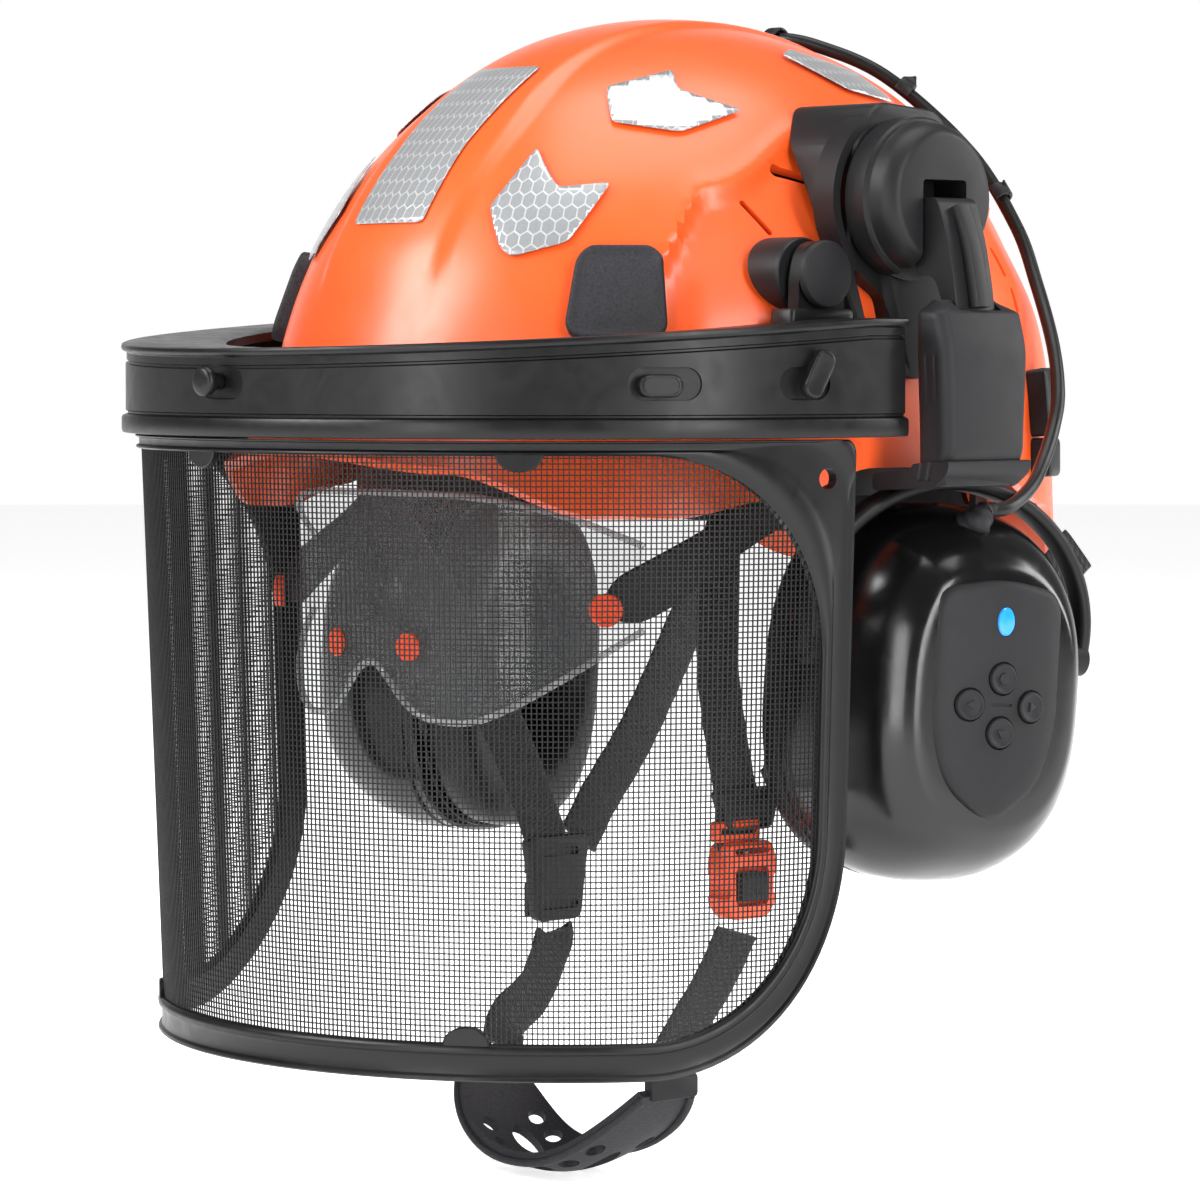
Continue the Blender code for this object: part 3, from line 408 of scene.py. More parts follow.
def honeycomb(name):
    """Reflective film: pale hexagons between lighter lines, over the sticker's map in centimetres."""
    finish, tree, shader, place = start_material(name, 0.28, Metallic=0.35, Coat_Weight=0.4,
                                                 Coat_Roughness=0.1)
    flat = add(tree, "ShaderNodeUVMap", uv_map="surface").outputs["UV"]
    cell = (0.42, 0.42 * math.sqrt(3), 1.0)
    middle = tuple(c / 2 for c in cell)

    def distance(start):
        wrapped = add(tree, "ShaderNodeVectorMath", {0: start, 1: cell, 2: (0.0, 0.0, 0.0)}, operation="WRAP")
        folded = add(tree, "ShaderNodeVectorMath", {0: wrapped.outputs[0], 1: middle}, operation="SUBTRACT")
        size = add(tree, "ShaderNodeVectorMath", {0: folded.outputs[0]}, operation="ABSOLUTE")
        axes = add(tree, "ShaderNodeSeparateXYZ", {0: size.outputs[0]})
        half = add(tree, "ShaderNodeMath", {0: axes.outputs["X"], 1: 0.5}, operation="MULTIPLY")
        slant = add(tree, "ShaderNodeMath", {0: axes.outputs["Y"], 1: math.sqrt(3) / 2, 2: half.outputs[0]},
                    operation="MULTIPLY_ADD")
        return add(tree, "ShaderNodeMath", {0: axes.outputs["X"], 1: slant.outputs[0]},
                   operation="MAXIMUM").outputs[0]

    moved = add(tree, "ShaderNodeVectorMath", {0: flat, 1: middle}, operation="ADD")
    nearest = add(tree, "ShaderNodeMath", {0: distance(flat), 1: distance(moved.outputs[0])},
                  operation="MINIMUM")
    line = add(tree, "ShaderNodeMapRange",
               {"Value": nearest.outputs[0], "From Min": 0.178, "From Max": 0.2, "To Min": 0.0,
                "To Max": 1.0})
    sparkle = add(tree, "ShaderNodeTexNoise", {"Vector": place, "Scale": 1800.0, "Detail": 2.0})
    faint = add(tree, "ShaderNodeMath", {0: sparkle.outputs["Fac"], 1: 0.3}, operation="MULTIPLY")
    mixed = add(tree, "ShaderNodeMath", {0: line.outputs[0], 1: 0.7, 2: faint.outputs[0]},
                operation="MULTIPLY_ADD")
    tint(tree, shader, mixed.outputs[0], (0.30, 0.31, 0.32), (0.66, 0.67, 0.68))
    emboss(tree, shader, line.outputs[0], 0.03)
    return finish


def clear(name, alpha):
    """Thin clear plastic: mostly see-through, with its own gloss and a faint haze."""
    finish, tree, shader, place = start_material(name, 0.05, Specular_IOR_Level=1.0, Alpha=alpha)
    haze = add(tree, "ShaderNodeTexNoise", {"Vector": place, "Scale": 40.0, "Detail": 5.0})
    tint(tree, shader, haze.outputs["Fac"], (0.30, 0.32, 0.33), (0.42, 0.44, 0.45))
    spread_roughness(tree, shader, haze.outputs["Fac"], 0.02, 0.08)
    return finish


def lit(name, colour, strength):
    finish, tree, shader, place = start_material(name, 0.2, Coat_Weight=0.6, Emission_Strength=strength)
    shader.inputs["Emission Color"].default_value = (*colour, 1)
    grain = add(tree, "ShaderNodeTexNoise", {"Vector": place, "Scale": 700.0})
    tint(tree, shader, grain.outputs["Fac"], colour, [min(1.0, c * 1.5) for c in colour])
    return finish


SHELL_ORANGE = moulded("shell_orange", (0.96, 0.105, 0.014), 0.36, grain=420.0, depth=0.012, change=0.02,
                       Coat_Weight=0.25, Coat_Roughness=0.22)
GLOSS_BLACK = moulded("gloss_black", (0.004, 0.004, 0.0045), 0.17, grain=500.0, depth=0.008, scuffs=0.06)
FRAME_BLACK = moulded("frame_black", (0.0045, 0.0045, 0.005), 0.3, grain=800.0, depth=0.012, scuffs=0.12,
                     Specular_IOR_Level=0.32)
SATIN_BLACK = moulded("satin_black", (0.009, 0.009, 0.010), 0.47, grain=1500.0, depth=0.03,
                      Specular_IOR_Level=0.28)
SOFT_BLACK = moulded("soft_black", (0.012, 0.012, 0.0135), 0.55, grain=1200.0, depth=0.03,
                     Specular_IOR_Level=0.28)
ORANGE_PARTS = moulded("orange_parts", (0.90, 0.075, 0.008), 0.36, grain=900.0, depth=0.015, change=0.05)
PAD_RUBBER = pebbled("pad_rubber", (0.022, 0.022, 0.026), 0.62, 0.7, 0.12, Specular_IOR_Level=0.3)
VINYL = pebbled("cushion_vinyl", (0.008, 0.008, 0.009), 0.42, 1.6, 0.10, Specular_IOR_Level=0.3)
FOAM = pebbled("liner_foam", (0.015, 0.015, 0.016), 0.9, 3.2, 0.35)
BAND_FOAM = pebbled("band_foam", (0.012, 0.012, 0.013), 0.95, 0.5, 0.2, Sheen_Weight=0.3)
WEBBING = woven("webbing", (0.007, 0.007, 0.0075))
FILM = honeycomb("reflective_film")
LENS = clear("clear_lens", 0.13)
LENS_EDGE = clear("lens_edge", 0.55)
WIRE = moulded("wire", (0.006, 0.006, 0.0065), 0.45, grain=2500.0, depth=0.01, Specular_IOR_Level=0.3)
LAMP = lit("led_blue", (0.01, 0.20, 0.80), 0.55)
METAL = moulded("metal", (0.55, 0.55, 0.56), 0.3, grain=1800.0, depth=0.01, Metallic=1.0)
BOARD = moulded("circuit_green", (0.02, 0.13, 0.045), 0.45, grain=700.0, depth=0.02)
CABLE = moulded("cable_rubber", (0.006, 0.006, 0.0065), 0.38, grain=1000.0, depth=0.01,
                Specular_IOR_Level=0.3)


# ---------------------------------------------------------------- shell


def dome_point(angle, z, margin=0.0):
    """A point of the dome at this angle round from the front and at this height, swollen by margin."""
    power = 2 + SHELL_FULLNESS * (1 - math.cos(angle)) / 2
    share = min(1.0, max(z, 0) / (SHELL_HEIGHT + margin))
    round_ = (1 - share**power) ** (1 / power)
    x = math.sin(angle) * (SHELL_HALF_WIDTH + margin) * round_
    y = -math.cos(angle) * (SHELL_HALF_LENGTH + margin) * round_
    return Vector((x, y, z))


def relief(angle, point):
    """How far the shell stands out of the plain dome here: the middle band, and the recess over each ear."""
    degrees = abs(math.degrees(angle))
    band_edge = 24 - 7 * smooth(90, 125, point.z)
    rise = BAND_RISE * (1 - smooth(band_edge - 2.5, band_edge + 2.5, abs(point.x))) * smooth(44, 62, point.z)
    below = read_table(CREASE, degrees) - point.z
    inside = smooth(46, 52, degrees) * (1 - smooth(158, 166, degrees))
    recess = CREASE_DEPTH * smooth(0, 4.5, below) * (1 - smooth(16, 44, below)) * inside
    ridge = 0.7 * math.exp(-((below / 3.2) ** 2)) * inside
    return rise + ridge - recess


def shell_point(angle, step):
    """The shell's outer surface: step 0..1 runs down the dome, and 1..2 down the skirt."""
    degrees = abs(math.degrees(angle))
    start = read_table(SKIRT_START, degrees)
    if step <= 1:
        z = SHELL_HEIGHT * math.cos(step * math.acos(start / SHELL_HEIGHT))
        reach = 0.0
    else:
        z = start + (read_table(RIM_HEIGHT, degrees) - start) * (step - 1)
        reach = read_table(RIM_REACH, degrees) * (step - 1) ** 1.5
    point = dome_point(angle, z) + Vector((math.sin(angle), -math.cos(angle), 0)) * reach
    return point + dome_normal(point) * relief(angle, point)


def dome_normal(point):
    return Vector((
        point.x / SHELL_HALF_WIDTH**2, point.y / SHELL_HALF_LENGTH**2, max(point.z, 0) / SHELL_HEIGHT**2
    )).normalized()


def on_shell(angle, z, lift):
    """A point above the finished shell, relief and all."""
    point = dome_point(angle, z)
    return point + dome_normal(point) * (relief(angle, point) + lift)


def make_shell():
    angles = np.radians(np.linspace(-180, 180, 288, endpoint=False))
    steps = [*np.linspace(0, 1, 81)[1:], *np.linspace(1, 2, 19)[1:]]
    rows = [[shell_point(a, s) for a in angles] for s in steps]
    shell = sheet("helmet_shell", rows, SHELL_ORANGE, SHELL_THICKNESS, wrap=True,
                  crown=(0, 0, SHELL_HEIGHT + BAND_RISE))
    applied(shell)
    slots = []
    for side in (1, -1):
        for first, last, width in (
            ((65.0, 74.5), (69.5, 65.0), 1.7), ((71.5, 83.5), (82.5, 79.0), 3.6),
            ((119.5, 62.5), (120.0, 53.5), 2.6), ((120.6, 50.5), (120.4, 43.0), 2.6),
        ):
            start, end = (on_shell(side * math.radians(a), z, 0) for a, z in (first, last))
            out = dome_normal((start + end) / 2)
            along = (end - start).normalized()
            across = out.cross(along).normalized()
            half = (end - start).length / 2
            middle = (start + end) / 2
            outline = rounded(half, width / 2, width / 2 - 0.02, 5)
            slots.append(loft("vent", [
                [middle + along * u + across * v + out * h for u, v in outline] for h in (-9, 6)
            ], SHELL_ORANGE))
    boolean(shell, slots)
    bevel(shell, 0.7, 2, 50)
    ride(shell, "helmet", "shell_orange", "shell")


PATCH_SPACING = 1.6  # millimetres between the cuts that let a sticker follow the shell


def patch(name, corners, finish, lift, side):
    """A flat outline of (degrees, height) laid on the shell, cut fine enough to follow it."""
    scale = 1.9  # millimetres of the shell for each degree, so that the map is about square
    bm = bmesh.new()
    bm.faces.new([bm.verts.new((side * a * scale, z, 0)) for a, z in corners])
    low_u, high_u = (f(v.co.x for v in bm.verts) for f in (min, max))
    low_z, high_z = (f(v.co.y for v in bm.verts) for f in (min, max))
    for axis, low, high in ((0, low_u, high_u), (1, low_z, high_z)):
        for cut in np.arange(low + PATCH_SPACING, high, PATCH_SPACING):
            normal = [0, 0, 0]
            normal[axis] = 1
            origin = [0, 0, 0]
            origin[axis] = cut
            bmesh.ops.bisect_plane(bm, geom=[*bm.verts, *bm.edges, *bm.faces], plane_co=origin,
                                   plane_no=normal)
    layer = bm.loops.layers.uv.new("surface")
    for face in bm.faces:
        for loop in face.loops:
            loop[layer].uv = (loop.vert.co.x / 10, loop.vert.co.y / 10)
    for vert in bm.verts:
        vert.co = on_shell(math.radians(vert.co.x / scale), vert.co.y, lift)
    for face in bm.faces:
        face.normal_update()
    flipped = [f for f in bm.faces if f.normal.dot(dome_normal(f.calc_center_median())) < 0]
    bmesh.ops.reverse_faces(bm, faces=flipped)
    obj = link_bmesh(name, bm, finish, outward=False)
    solid = obj.modifiers.new("thickness", "SOLIDIFY")
    solid.thickness = 0.2 * MM
    solid.offset = -1
    return ride(obj, "helmet", "reflective")


def make_stickers():
    front = softened([(-9.4, 66.5), (9.4, 66.5), (10.5, 88), (14.5, 110.5), (-14.5, 110.5), (-10.5, 88)], 1.6)
    patch("sticker_front", front, FILM, 0.7, 1)
    chevrons = {
        "brow": [(21.8, 71.3), (27, 87.6), (33.4, 76.3), (42.6, 77.7), (36.8, 61.4), (27.9, 57.3),
                 (25.7, 59.8)],
        "temple": [(37.5, 105), (53.8, 110.1), (54.7, 104.4), (68.4, 98.4), (54.8, 91.9), (40.9, 94.7)],
        "crown": [(92.2, 115.6), (100.2, 117.6), (111.9, 113.8), (117.6, 111.8), (117.9, 102.6),
                  (102.2, 105.6)],
    }
    for word, corners in chevrons.items():
        for place, _, side in SIDES:
            patch(f"sticker_{word}_{place}", softened(corners, 1.4), FILM, 1.3, side)


def make_side_pads():
    """The pebbled rubber pads over the temples, with a smooth raised edge."""
    outline = rounded(13.0, 12.5, 5.5, 9)
    levels = [(1.0, 0.1), (1.0, 3.2), (0.985, 3.9), (0.95, 4.3), (0.90, 4.35), (0.86, 4.0), (0.84, 3.85),
              (0.7, 3.95), (0.5, 4.05), (0.3, 4.1), (0.1, 4.1)]
    for word, _, side in SIDES:
        def place(u, v, height, side=side):
            width = u * (1 - 0.006 * (v + 12.5))
            return on_shell(side * (math.radians(45) + width / 100.0), 47.0 + v, height)
        pad = stack(f"rubber_pad_{word}", outline, place, levels, PAD_RUBBER, sharp=60)
        ride(pad, "helmet", "rubber", f"side_pad_{word}")


def make_liner():
    """The foam liner, grooved for air from front to back."""
    rows = []
    angles = np.radians(np.linspace(-180, 180, 120, endpoint=False))
    for polar in np.linspace(0, math.acos(24 / 117), 37)[1:]:
        rows.append([
            Vector((math.sin(a) * 93 * math.sin(polar), -math.cos(a) * 106 * math.sin(polar),
                    117 * math.cos(polar)))
            for a in angles
        ])
    inner = []
    for row in rows:
        ring = []
        for p in row:
            groove = sum(math.exp(-(((abs(p.x) - c) / 4.0) ** 2)) for c in (0, 26, 52))
            ring.append(p * (1 - (13.0 - 5.5 * groove * smooth(24, 44, p.z)) / 105))
        inner.append(ring)
    bm = bmesh.new()
    outer_verts = [[bm.verts.new(p) for p in row] for row in rows]
    inner_verts = [[bm.verts.new(p) for p in row] for row in inner]
    bridge(bm, outer_verts)
    bridge(bm, inner_verts)
    bridge(bm, [outer_verts[-1], inner_verts[-1]])
    for verts, z in ((outer_verts[0], 117), (inner_verts[0], 109.5)):
        top = bm.verts.new((0, 0, z))
        for i in range(len(verts)):
            bm.faces.new((top, verts[i], verts[(i + 1) % len(verts)]))
    liner = link_bmesh("foam_liner", bm, FOAM, sharp=50)
    ride(bevel(liner, 1.5, 2, 50), "helmet", "liner_foam", "liner")


def band_arc(half_width, half_length, first, last, count):
    angles = np.radians(np.linspace(first, last, count))
    return [(math.sin(a) * half_width, -math.cos(a) * half_length) for a in angles]


def make_headband():
    """The head band with its rounded ends and slots, its foam brow pad, the rear cradle and the knob."""
    arc_points = band_arc(79, 97, -118, 118, 119)
    rows = []
    for share in np.linspace(0, 1, 9):
        row = []
        for i, (x, y) in enumerate(arc_points):
            end = min(i, len(arc_points) - 1 - i) / 6.0
            half = 12.75 * (math.sqrt(1 - (1 - min(1, end + 0.12)) ** 2))
            row.append((x, y, 4.25 + half * (1 - 2 * share)))
        rows.append(row)
    band = applied(sheet("head_band", rows, SATIN_BLACK, 2.0))
    slots = []
    for degrees in (-100, -88, -76, 76, 88, 100):
        a = math.radians(degrees)
        x, y = math.sin(a) * 79, -math.cos(a) * 97
        turn = Matrix.Rotation(a, 3, "Z")
        slots.append(loft("slot", [
            [Vector((x, y, 4.5)) + turn @ Vector((u, depth, v)) for u, v in rounded(4.2, 1.7, 1.6, 4)]
            for depth in (-6, 6)
        ], SATIN_BLACK))
    boolean(band, slots)
    ride(bevel(band, 0.5, 2), "helmet", "satin_plastic", "headband")

    section = rounded(2.3, 10.6, 2.2, 5)
    points = [Vector((x, y, 4.3)) for x, y in band_arc(73.2, 91.2, -48, 48, 65)]
    pad = sweep("brow_foam_pad", points, lambda i: [
        (b * (1 - 0.12 * math.exp(-((min(i, 64 - i) / 3) ** 2))),
         a * (1 + 0.05 * math.sin(i * 0.9)) * (1 - 0.6 * math.exp(-((min(i, 64 - i) / 1.6) ** 2))))
        for a, b in section
    ], BAND_FOAM, face=(0, 0, 1))
    ride(pad, "helmet", "liner_foam", "brow_pad")

    rows = []
    for share in np.linspace(0, 1, 9):
        row = []
        for x, y in band_arc(88, 101, 122, 238, 59):
            dip = 1 - 0.35 * smooth(20, 75, abs(x))
            row.append((x, y, -8.5 + 17.5 * dip * (1 - 2 * share)))
        rows.append(row)
    cradle = applied(sheet("rear_cradle_band", rows, SATIN_BLACK, 2.0))
    holes = []
    for x, z, half in ((-46, -8.5, 14), (46, -8.5, 14)):
        holes.append(loft("hole",
                          [[(x + u, y, z + v) for u, v in rounded(half, 5.5, 5.3, 6)] for y in (60, 130)],
                          SATIN_BLACK))
    boolean(cradle, holes)
    ride(bevel(cradle, 0.5, 2), "cradle", "satin_plastic", "rear_cradle")

    teeth = 36
    outline = [
        ((14 - 0.7 * (i % 2)) * math.cos(math.pi * i / teeth),
         (14 - 0.7 * (i % 2)) * math.sin(math.pi * i / teeth))
        for i in range(2 * teeth)
    ]
    levels = [(0.93, -5.4), (1.0, -4.4), (1.0, 3.6), (0.94, 4.9), (0.82, 5.4), (0.5, 5.45), (0.47, 4.6),
              (0.1, 4.5)]
    knob = stack("adjusting_knob", outline, lambda u, v, h: (u, 107.5 + h, -10 + v), levels, SOFT_BLACK)
    ride(knob, "knob", "satin_plastic", "adjust_knob")


# ---------------------------------------------------------------- mesh visor


def visor_point(along, z, inward=0.0):
    """A point of the visor's face: along is the arc length from the front, z the height."""
    radius = VISOR_RADIUS - VISOR_TAPER * (VISOR_TOP - z) - inward
    angle = along / VISOR_RADIUS
    return Vector((radius * math.sin(angle), VISOR_CENTRE_Y - radius * math.cos(angle), z))


def face_place(angle, z, outward=0.0):
    """A small frame on the visor's face, for what sits on it: u round to the wearer's left, v up."""
    radius = VISOR_RADIUS - VISOR_TAPER * (VISOR_TOP - z) + outward
    out = Vector((math.sin(angle), -math.cos(angle), 0))
    across = Vector((math.cos(angle), math.sin(angle), 0))
    base = Vector((0, VISOR_CENTRE_Y, z)) + out * radius

    def place(u, v, height):
        return base + across * u + Vector((0, 0, v)) + out * height
    return place


def make_bracket():
    """The ledge round the brow with its ribbed skirt, and the two lugs that hang on the shell."""
    profile = (
        (1.6, 0.0, 1), (2.3, -0.3, 1), (2.5, -0.9, 1), (2.5, -1.5, 1), (2.2, -2.0, 1), (1.3, -2.3, 1),
        (1.0, -2.6, 1), (1.0, -4.6, 1), (0.55, -4.9, 1), (0.55, -5.4, 1), (1.3, -5.8, 1),
        (1.3, 15.4, 0), (0.7, 15.1, 0), (0.7, 14.6, 0), (2.2, 14.0, 0), (2.5, 13.3, 0), (2.5, 10.2, 0),
        (2.2, 9.2, 0), (1.4, 9.0, 0), (0.0, 9.0, 0),
    )
    rings = []
    for degrees in np.linspace(-96, 96, 193):
        angle = math.radians(degrees)
        sin, cos = math.sin(angle), math.cos(angle)
        rise = VISOR_REAR_RISE * (1 - cos) if abs(degrees) <= 90 else VISOR_REAR_RISE
        top = VISOR_TOP + rise
        out = Vector((sin, -cos, 0))
        centre = Vector((0, VISOR_CENTRE_Y, 0))
        inner = Vector((101 * sin, VISOR_CENTRE_Y - 94 * cos, 0))
        lip = inner + (centre + out * VISOR_RADIUS - inner) * 0.08
        ring = [lip + Vector((0, 0, top)), inner + Vector((0, 0, top - 0.5))]
        ring += [inner + Vector((0, 0, top - 3.0)), centre + out * VISOR_RADIUS + Vector((0, 0, top - 3.0))]
        skirt = []
        for outward, z, hung in profile:
            skirt.append(centre + out * (VISOR_RADIUS + outward) + Vector((0, 0, top + z if hung else z)))
        rings.append(ring + skirt[::-1])
    bracket = loft("visor_ledge", rings, FRAME_BLACK, sharp=30)
    lugs = []
    for _, _, side in SIDES:
        lug = softened([(-29, 36), (-29.5, 53), (-32, 60.5), (-38, 62.5), (-44, 60.5), (-46.5, 53),
                        (-47, 36)], 3)
        lugs.append(loft("lug", [[(side * x, y, z) for y, z in lug] for x in (99.5, 103.5)], FRAME_BLACK))
        foot = rounded(12.5, 4.5, 1.5, 4)
        lugs.append(loft("foot", [[(side * (x - 0.4 * abs(h)), y * k - 38, 40.6 + h) for x, y in
                                   [(101 + b, a) for a, b in foot]]
                                   for h, k in ((-3, 1), (2.2, 0.97), (3.0, 0.93))],
                         FRAME_BLACK))
        pin = arc(3.0, 3.0, 0, 345, 24, (-38, 53))
        lugs.append(loft("pin", [[(side * x, y, z) for y, z in pin] for x in (93.5, 102)], FRAME_BLACK))
    holes = []
    for angle, u, width in ((0, 6.0, 9.0), (60, 5.0, 10.0), (-60, -5.0, 10.0), (80, -4.0, 8.0),
                            (-80, 4.0, 8.0)):
        place = face_place(math.radians(angle), 23.5)
        outline = rounded(width, 4.4, 4.3, 8)
        holes.append(loft("slot", [[place(a + u * 0.35, b, h) for a, b in outline] for h in (0.35, 6)],
                          FRAME_BLACK))
    boolean(bracket, lugs, "UNION")
    boolean(bracket, holes)
    ride(bevel(bracket, 0.35, 2, 40), "visor", "black_plastic", "visor_bracket")


FRAME_PARTS = (30, 44, 60, 44)  # straight pieces along each side of the visor's frame


def frame_outline(inset, corner_low, corner_high):
    """The developed outline of the visor's frame, set in from its edge, as (along, height)."""
    half, low, high = VISOR_HALF_ARC - inset, VISOR_BOTTOM + inset, VISOR_SKIRT_LOW - 0.5 - inset * 0.4
    corners = []
    for sx, edge, sz, radius, start in (
        (1, high, -1, corner_high, 0), (-1, high, -1, corner_high, 90),
        (-1, low, 1, corner_low, 180), (1, low, 1, corner_low, 270),
    ):
        centre = (sx * (half - radius), edge + sz * radius)
        corners.append(arc(radius, radius, start, start + 90, 25, centre))
    outline = []
    for corner, following, split in zip(corners, corners[1:] + corners[:1], FRAME_PARTS):
        outline += corner
        (x0, z0), (x1, z1) = corner[-1], following[0]
        outline += [(x0 + (x1 - x0) * i / split, z0 + (z1 - z0) * i / split) for i in range(1, split)]
    return outline


def make_frame():
    """The frame round the mesh: a flat bar with a raised outer edge and a stepped inner lip."""
    section = (  # inset from the outer edge, height inwards from the face
        (0.0, 0.9), (0.5, 0.35), (1.2, 0.5), (1.9, 1.3), (2.8, 1.5), (6.2, 1.5), (7.0, 1.2), (7.6, 0.6),
        (8.6, 0.5), (9.5, 0.9), (10.0, 1.6), (10.0, 4.0), (9.4, 4.5), (0.6, 4.5), (0.0, 4.0),
    )
    rings = []
    for inset, depth in section:
        share = inset / FRAME_BAR
        corner_high = 4.0 + (MESH_TOP_CORNER - 4.0) * share
        outline = frame_outline(inset, FRAME_CORNER - inset, corner_high)
        rings.append([visor_point(along, z, depth) for along, z in outline])
    frame_piece = loft("visor_rim", rings, FRAME_BLACK, closed_loop=True, sharp=30)
    holes = []
    for _, _, side in SIDES:
        place = face_place(side * math.radians(84.2), -2.0)
        hole = arc(2.9, 2.9, 0, 350, 24)
        holes.append(loft("hole", [[place(a, b, h) for a, b in hole] for h in (-12, 8)], FRAME_BLACK))
    boolean(frame_piece, holes)
    ride(frame_piece, "visor", "black_plastic", "visor_frame")
    tabs = ((-0.62, VISOR_BOTTOM + 9.6, 1), (0.62, VISOR_BOTTOM + 9.6, 1),
            (-0.1, 5.2, -1), (0.75, 5.2, -1), (-0.95, 5.2, -1))
    for number, (angle, z, turn) in enumerate(tabs):
        half_oval = arc(6.5, 5.0, 0, 180, 17)
        place = face_place(angle, z, -2.0)
        outline = [(a, turn * b) for a, b in half_oval]
        tab = loft(f"visor_tab_{number}", [
            [place(a * k, b * k, h) for a, b in outline] for k, h in ((1, -1.6), (1, 0.7), (0.93, 1.1))
        ], FRAME_BLACK)
        ride(tab, "visor", "black_plastic")


def mesh_limits(along):
    """The lowest and highest point of the wire mesh at this arc length, or None outside it."""
    inset = FRAME_BAR - 1.5
    half, low, high = VISOR_HALF_ARC - inset, VISOR_BOTTOM + inset, VISOR_SKIRT_LOW - 0.5 - inset * 0.4
    if abs(along) > half - 0.2:
        return None
    cuts = []
    for radius in (FRAME_CORNER - inset, MESH_TOP_CORNER):
        over = max(0.0, abs(along) - (half - radius))
        cuts.append(radius - math.sqrt(max(0.0, radius**2 - over**2)))
    return low + cuts[0], high - cuts[1]


WIRE_SIDES = 4


def wire(verts, faces, points):
    """Adds a square wire through these points, with closed ends."""
    first = len(verts)
    last = len(points) - 1
    for i, point in enumerate(points):
        tangent = (points[min(i + 1, last)] - points[max(i - 1, 0)]).normalized()
        radial = Vector((point.x, point.y - VISOR_CENTRE_Y, 0)).normalized()
        across = tangent.cross(radial).normalized()
        for k in range(WIRE_SIDES):
            a = math.pi / 4 + k * math.tau / WIRE_SIDES
            offset = (across * math.cos(a) + radial * math.sin(a)) * WIRE_RADIUS * 1.2
            verts.append((point + offset) * MM)
    for i in range(last):
        for k in range(WIRE_SIDES):
            m = (k + 1) % WIRE_SIDES
            a, b = first + i * WIRE_SIDES, first + (i + 1) * WIRE_SIDES
            faces.append((a + k, a + m, b + m, b + k))
    faces.append(tuple(range(first, first + WIRE_SIDES)))
    faces.append(tuple(range(first + last * WIRE_SIDES + WIRE_SIDES - 1, first + last * WIRE_SIDES - 1, -1)))


def make_wire_mesh():
    """Wire mesh: straight uprights and cross wires, the uprights lying a little further out than the cross
    wires.
    """
    depth = 2.4
    verts, faces = [], []
    count = int(VISOR_HALF_ARC / MESH_PITCH)
    for i in range(-count, count + 1):
        along = i * MESH_PITCH
        limits = mesh_limits(along)
        if limits is None or limits[1] - limits[0] < 2:
            continue
        wire(verts, faces, [visor_point(along, z, depth - 0.14) for z in limits])
    z = VISOR_BOTTOM + FRAME_BAR
    while z < VISOR_SKIRT_LOW:
        inside = [a for a in np.arange(-VISOR_HALF_ARC, VISOR_HALF_ARC, 1.0)
                  if mesh_limits(a) and mesh_limits(a)[0] <= z <= mesh_limits(a)[1]]
        if len(inside) > 4:
            path = np.linspace(inside[0], inside[-1], max(3, int((inside[-1] - inside[0]) / 3)))
            wire(verts, faces, [visor_point(a, z, depth + 0.14) for a in path])
        z += MESH_PITCH
    mesh = bpy.data.meshes.new("wire_screen")
    mesh.from_pydata(verts, [], faces)
    mesh.materials.append(WIRE)
    obj = bpy.data.objects.new("wire_screen", mesh)
    bpy.context.scene.collection.objects.link(obj)
    ride(obj, "visor", "wire_mesh", "visor_mesh")


def make_studs():
    """The keyhole stud in front, the oval bosses, and the turning levers at the sides."""
    place = face_place(0.0, 24.0, 1.3)
    stud = stack("front_keyhole_stud", arc(1, 1, 0, 348, 30), place,
                 [(2.4, -0.8), (2.3, 2.4), (3.9, 2.9), (4.1, 3.4), (4.1, 4.9), (3.7, 5.5), (3.0, 5.8),
                  (1.0, 5.85)],
                 FRAME_BLACK)
    ride(stud, "visor", "black_plastic", "front_stud")
    for word, letter, side in SIDES:
        place = face_place(side * math.radians(60), 23.0, 1.0)
        outline = rounded(6.0, 3.0, 2.9, 8)
        boss = stack(f"oval_boss_{word}", outline, place,
                     [(1, -0.3), (1, 3.6), (0.96, 4.2), (0.88, 4.5), (0.80, 4.5), (0.77, 4.25), (0.1, 4.25)],
                     FRAME_BLACK)
        ride(boss, "visor", "black_plastic", f"side_stud_{word}")
        place = face_place(side * math.radians(80), 26.0, 1.0)
        lean = math.radians(-28) * side
        outline = [
            (a * math.cos(lean) - b * math.sin(lean), a * math.sin(lean) + b * math.cos(lean))
            for a, b in rounded(3.1, 6.9, 3.0, 8)
        ]
        lever = stack(f"turn_lever_{word}", outline, place,
                      [(0.7, 2.0), (1, 2.9), (1, 5.0), (0.95, 5.6), (0.88, 5.8), (0.80, 5.7), (0.1, 5.7)],
                      FRAME_BLACK)
        ride(lever, f"visor_lever_{letter}", "black_plastic", f"visor_lever_{word}")


# ---------------------------------------------------------------- inner eye shield


def shield_point(x, z, inward=0.0):
    width, length = SHIELD_HALF_WIDTH - inward, SHIELD_LENGTH - inward
    angle = math.asin(x / SHIELD_HALF_WIDTH)
    return Vector((width * math.sin(angle), SHIELD_CENTRE_Y - length * math.cos(angle), z))


def shield_limits(x):
    share = abs(x) / 72.0
    nose = 16 * math.exp(-((x / 13.0) ** 2))
    return -70 + nose + 26 * max(0.0, share - 0.45) ** 1.6 / 0.55**1.6, -7 - 14 * share**4


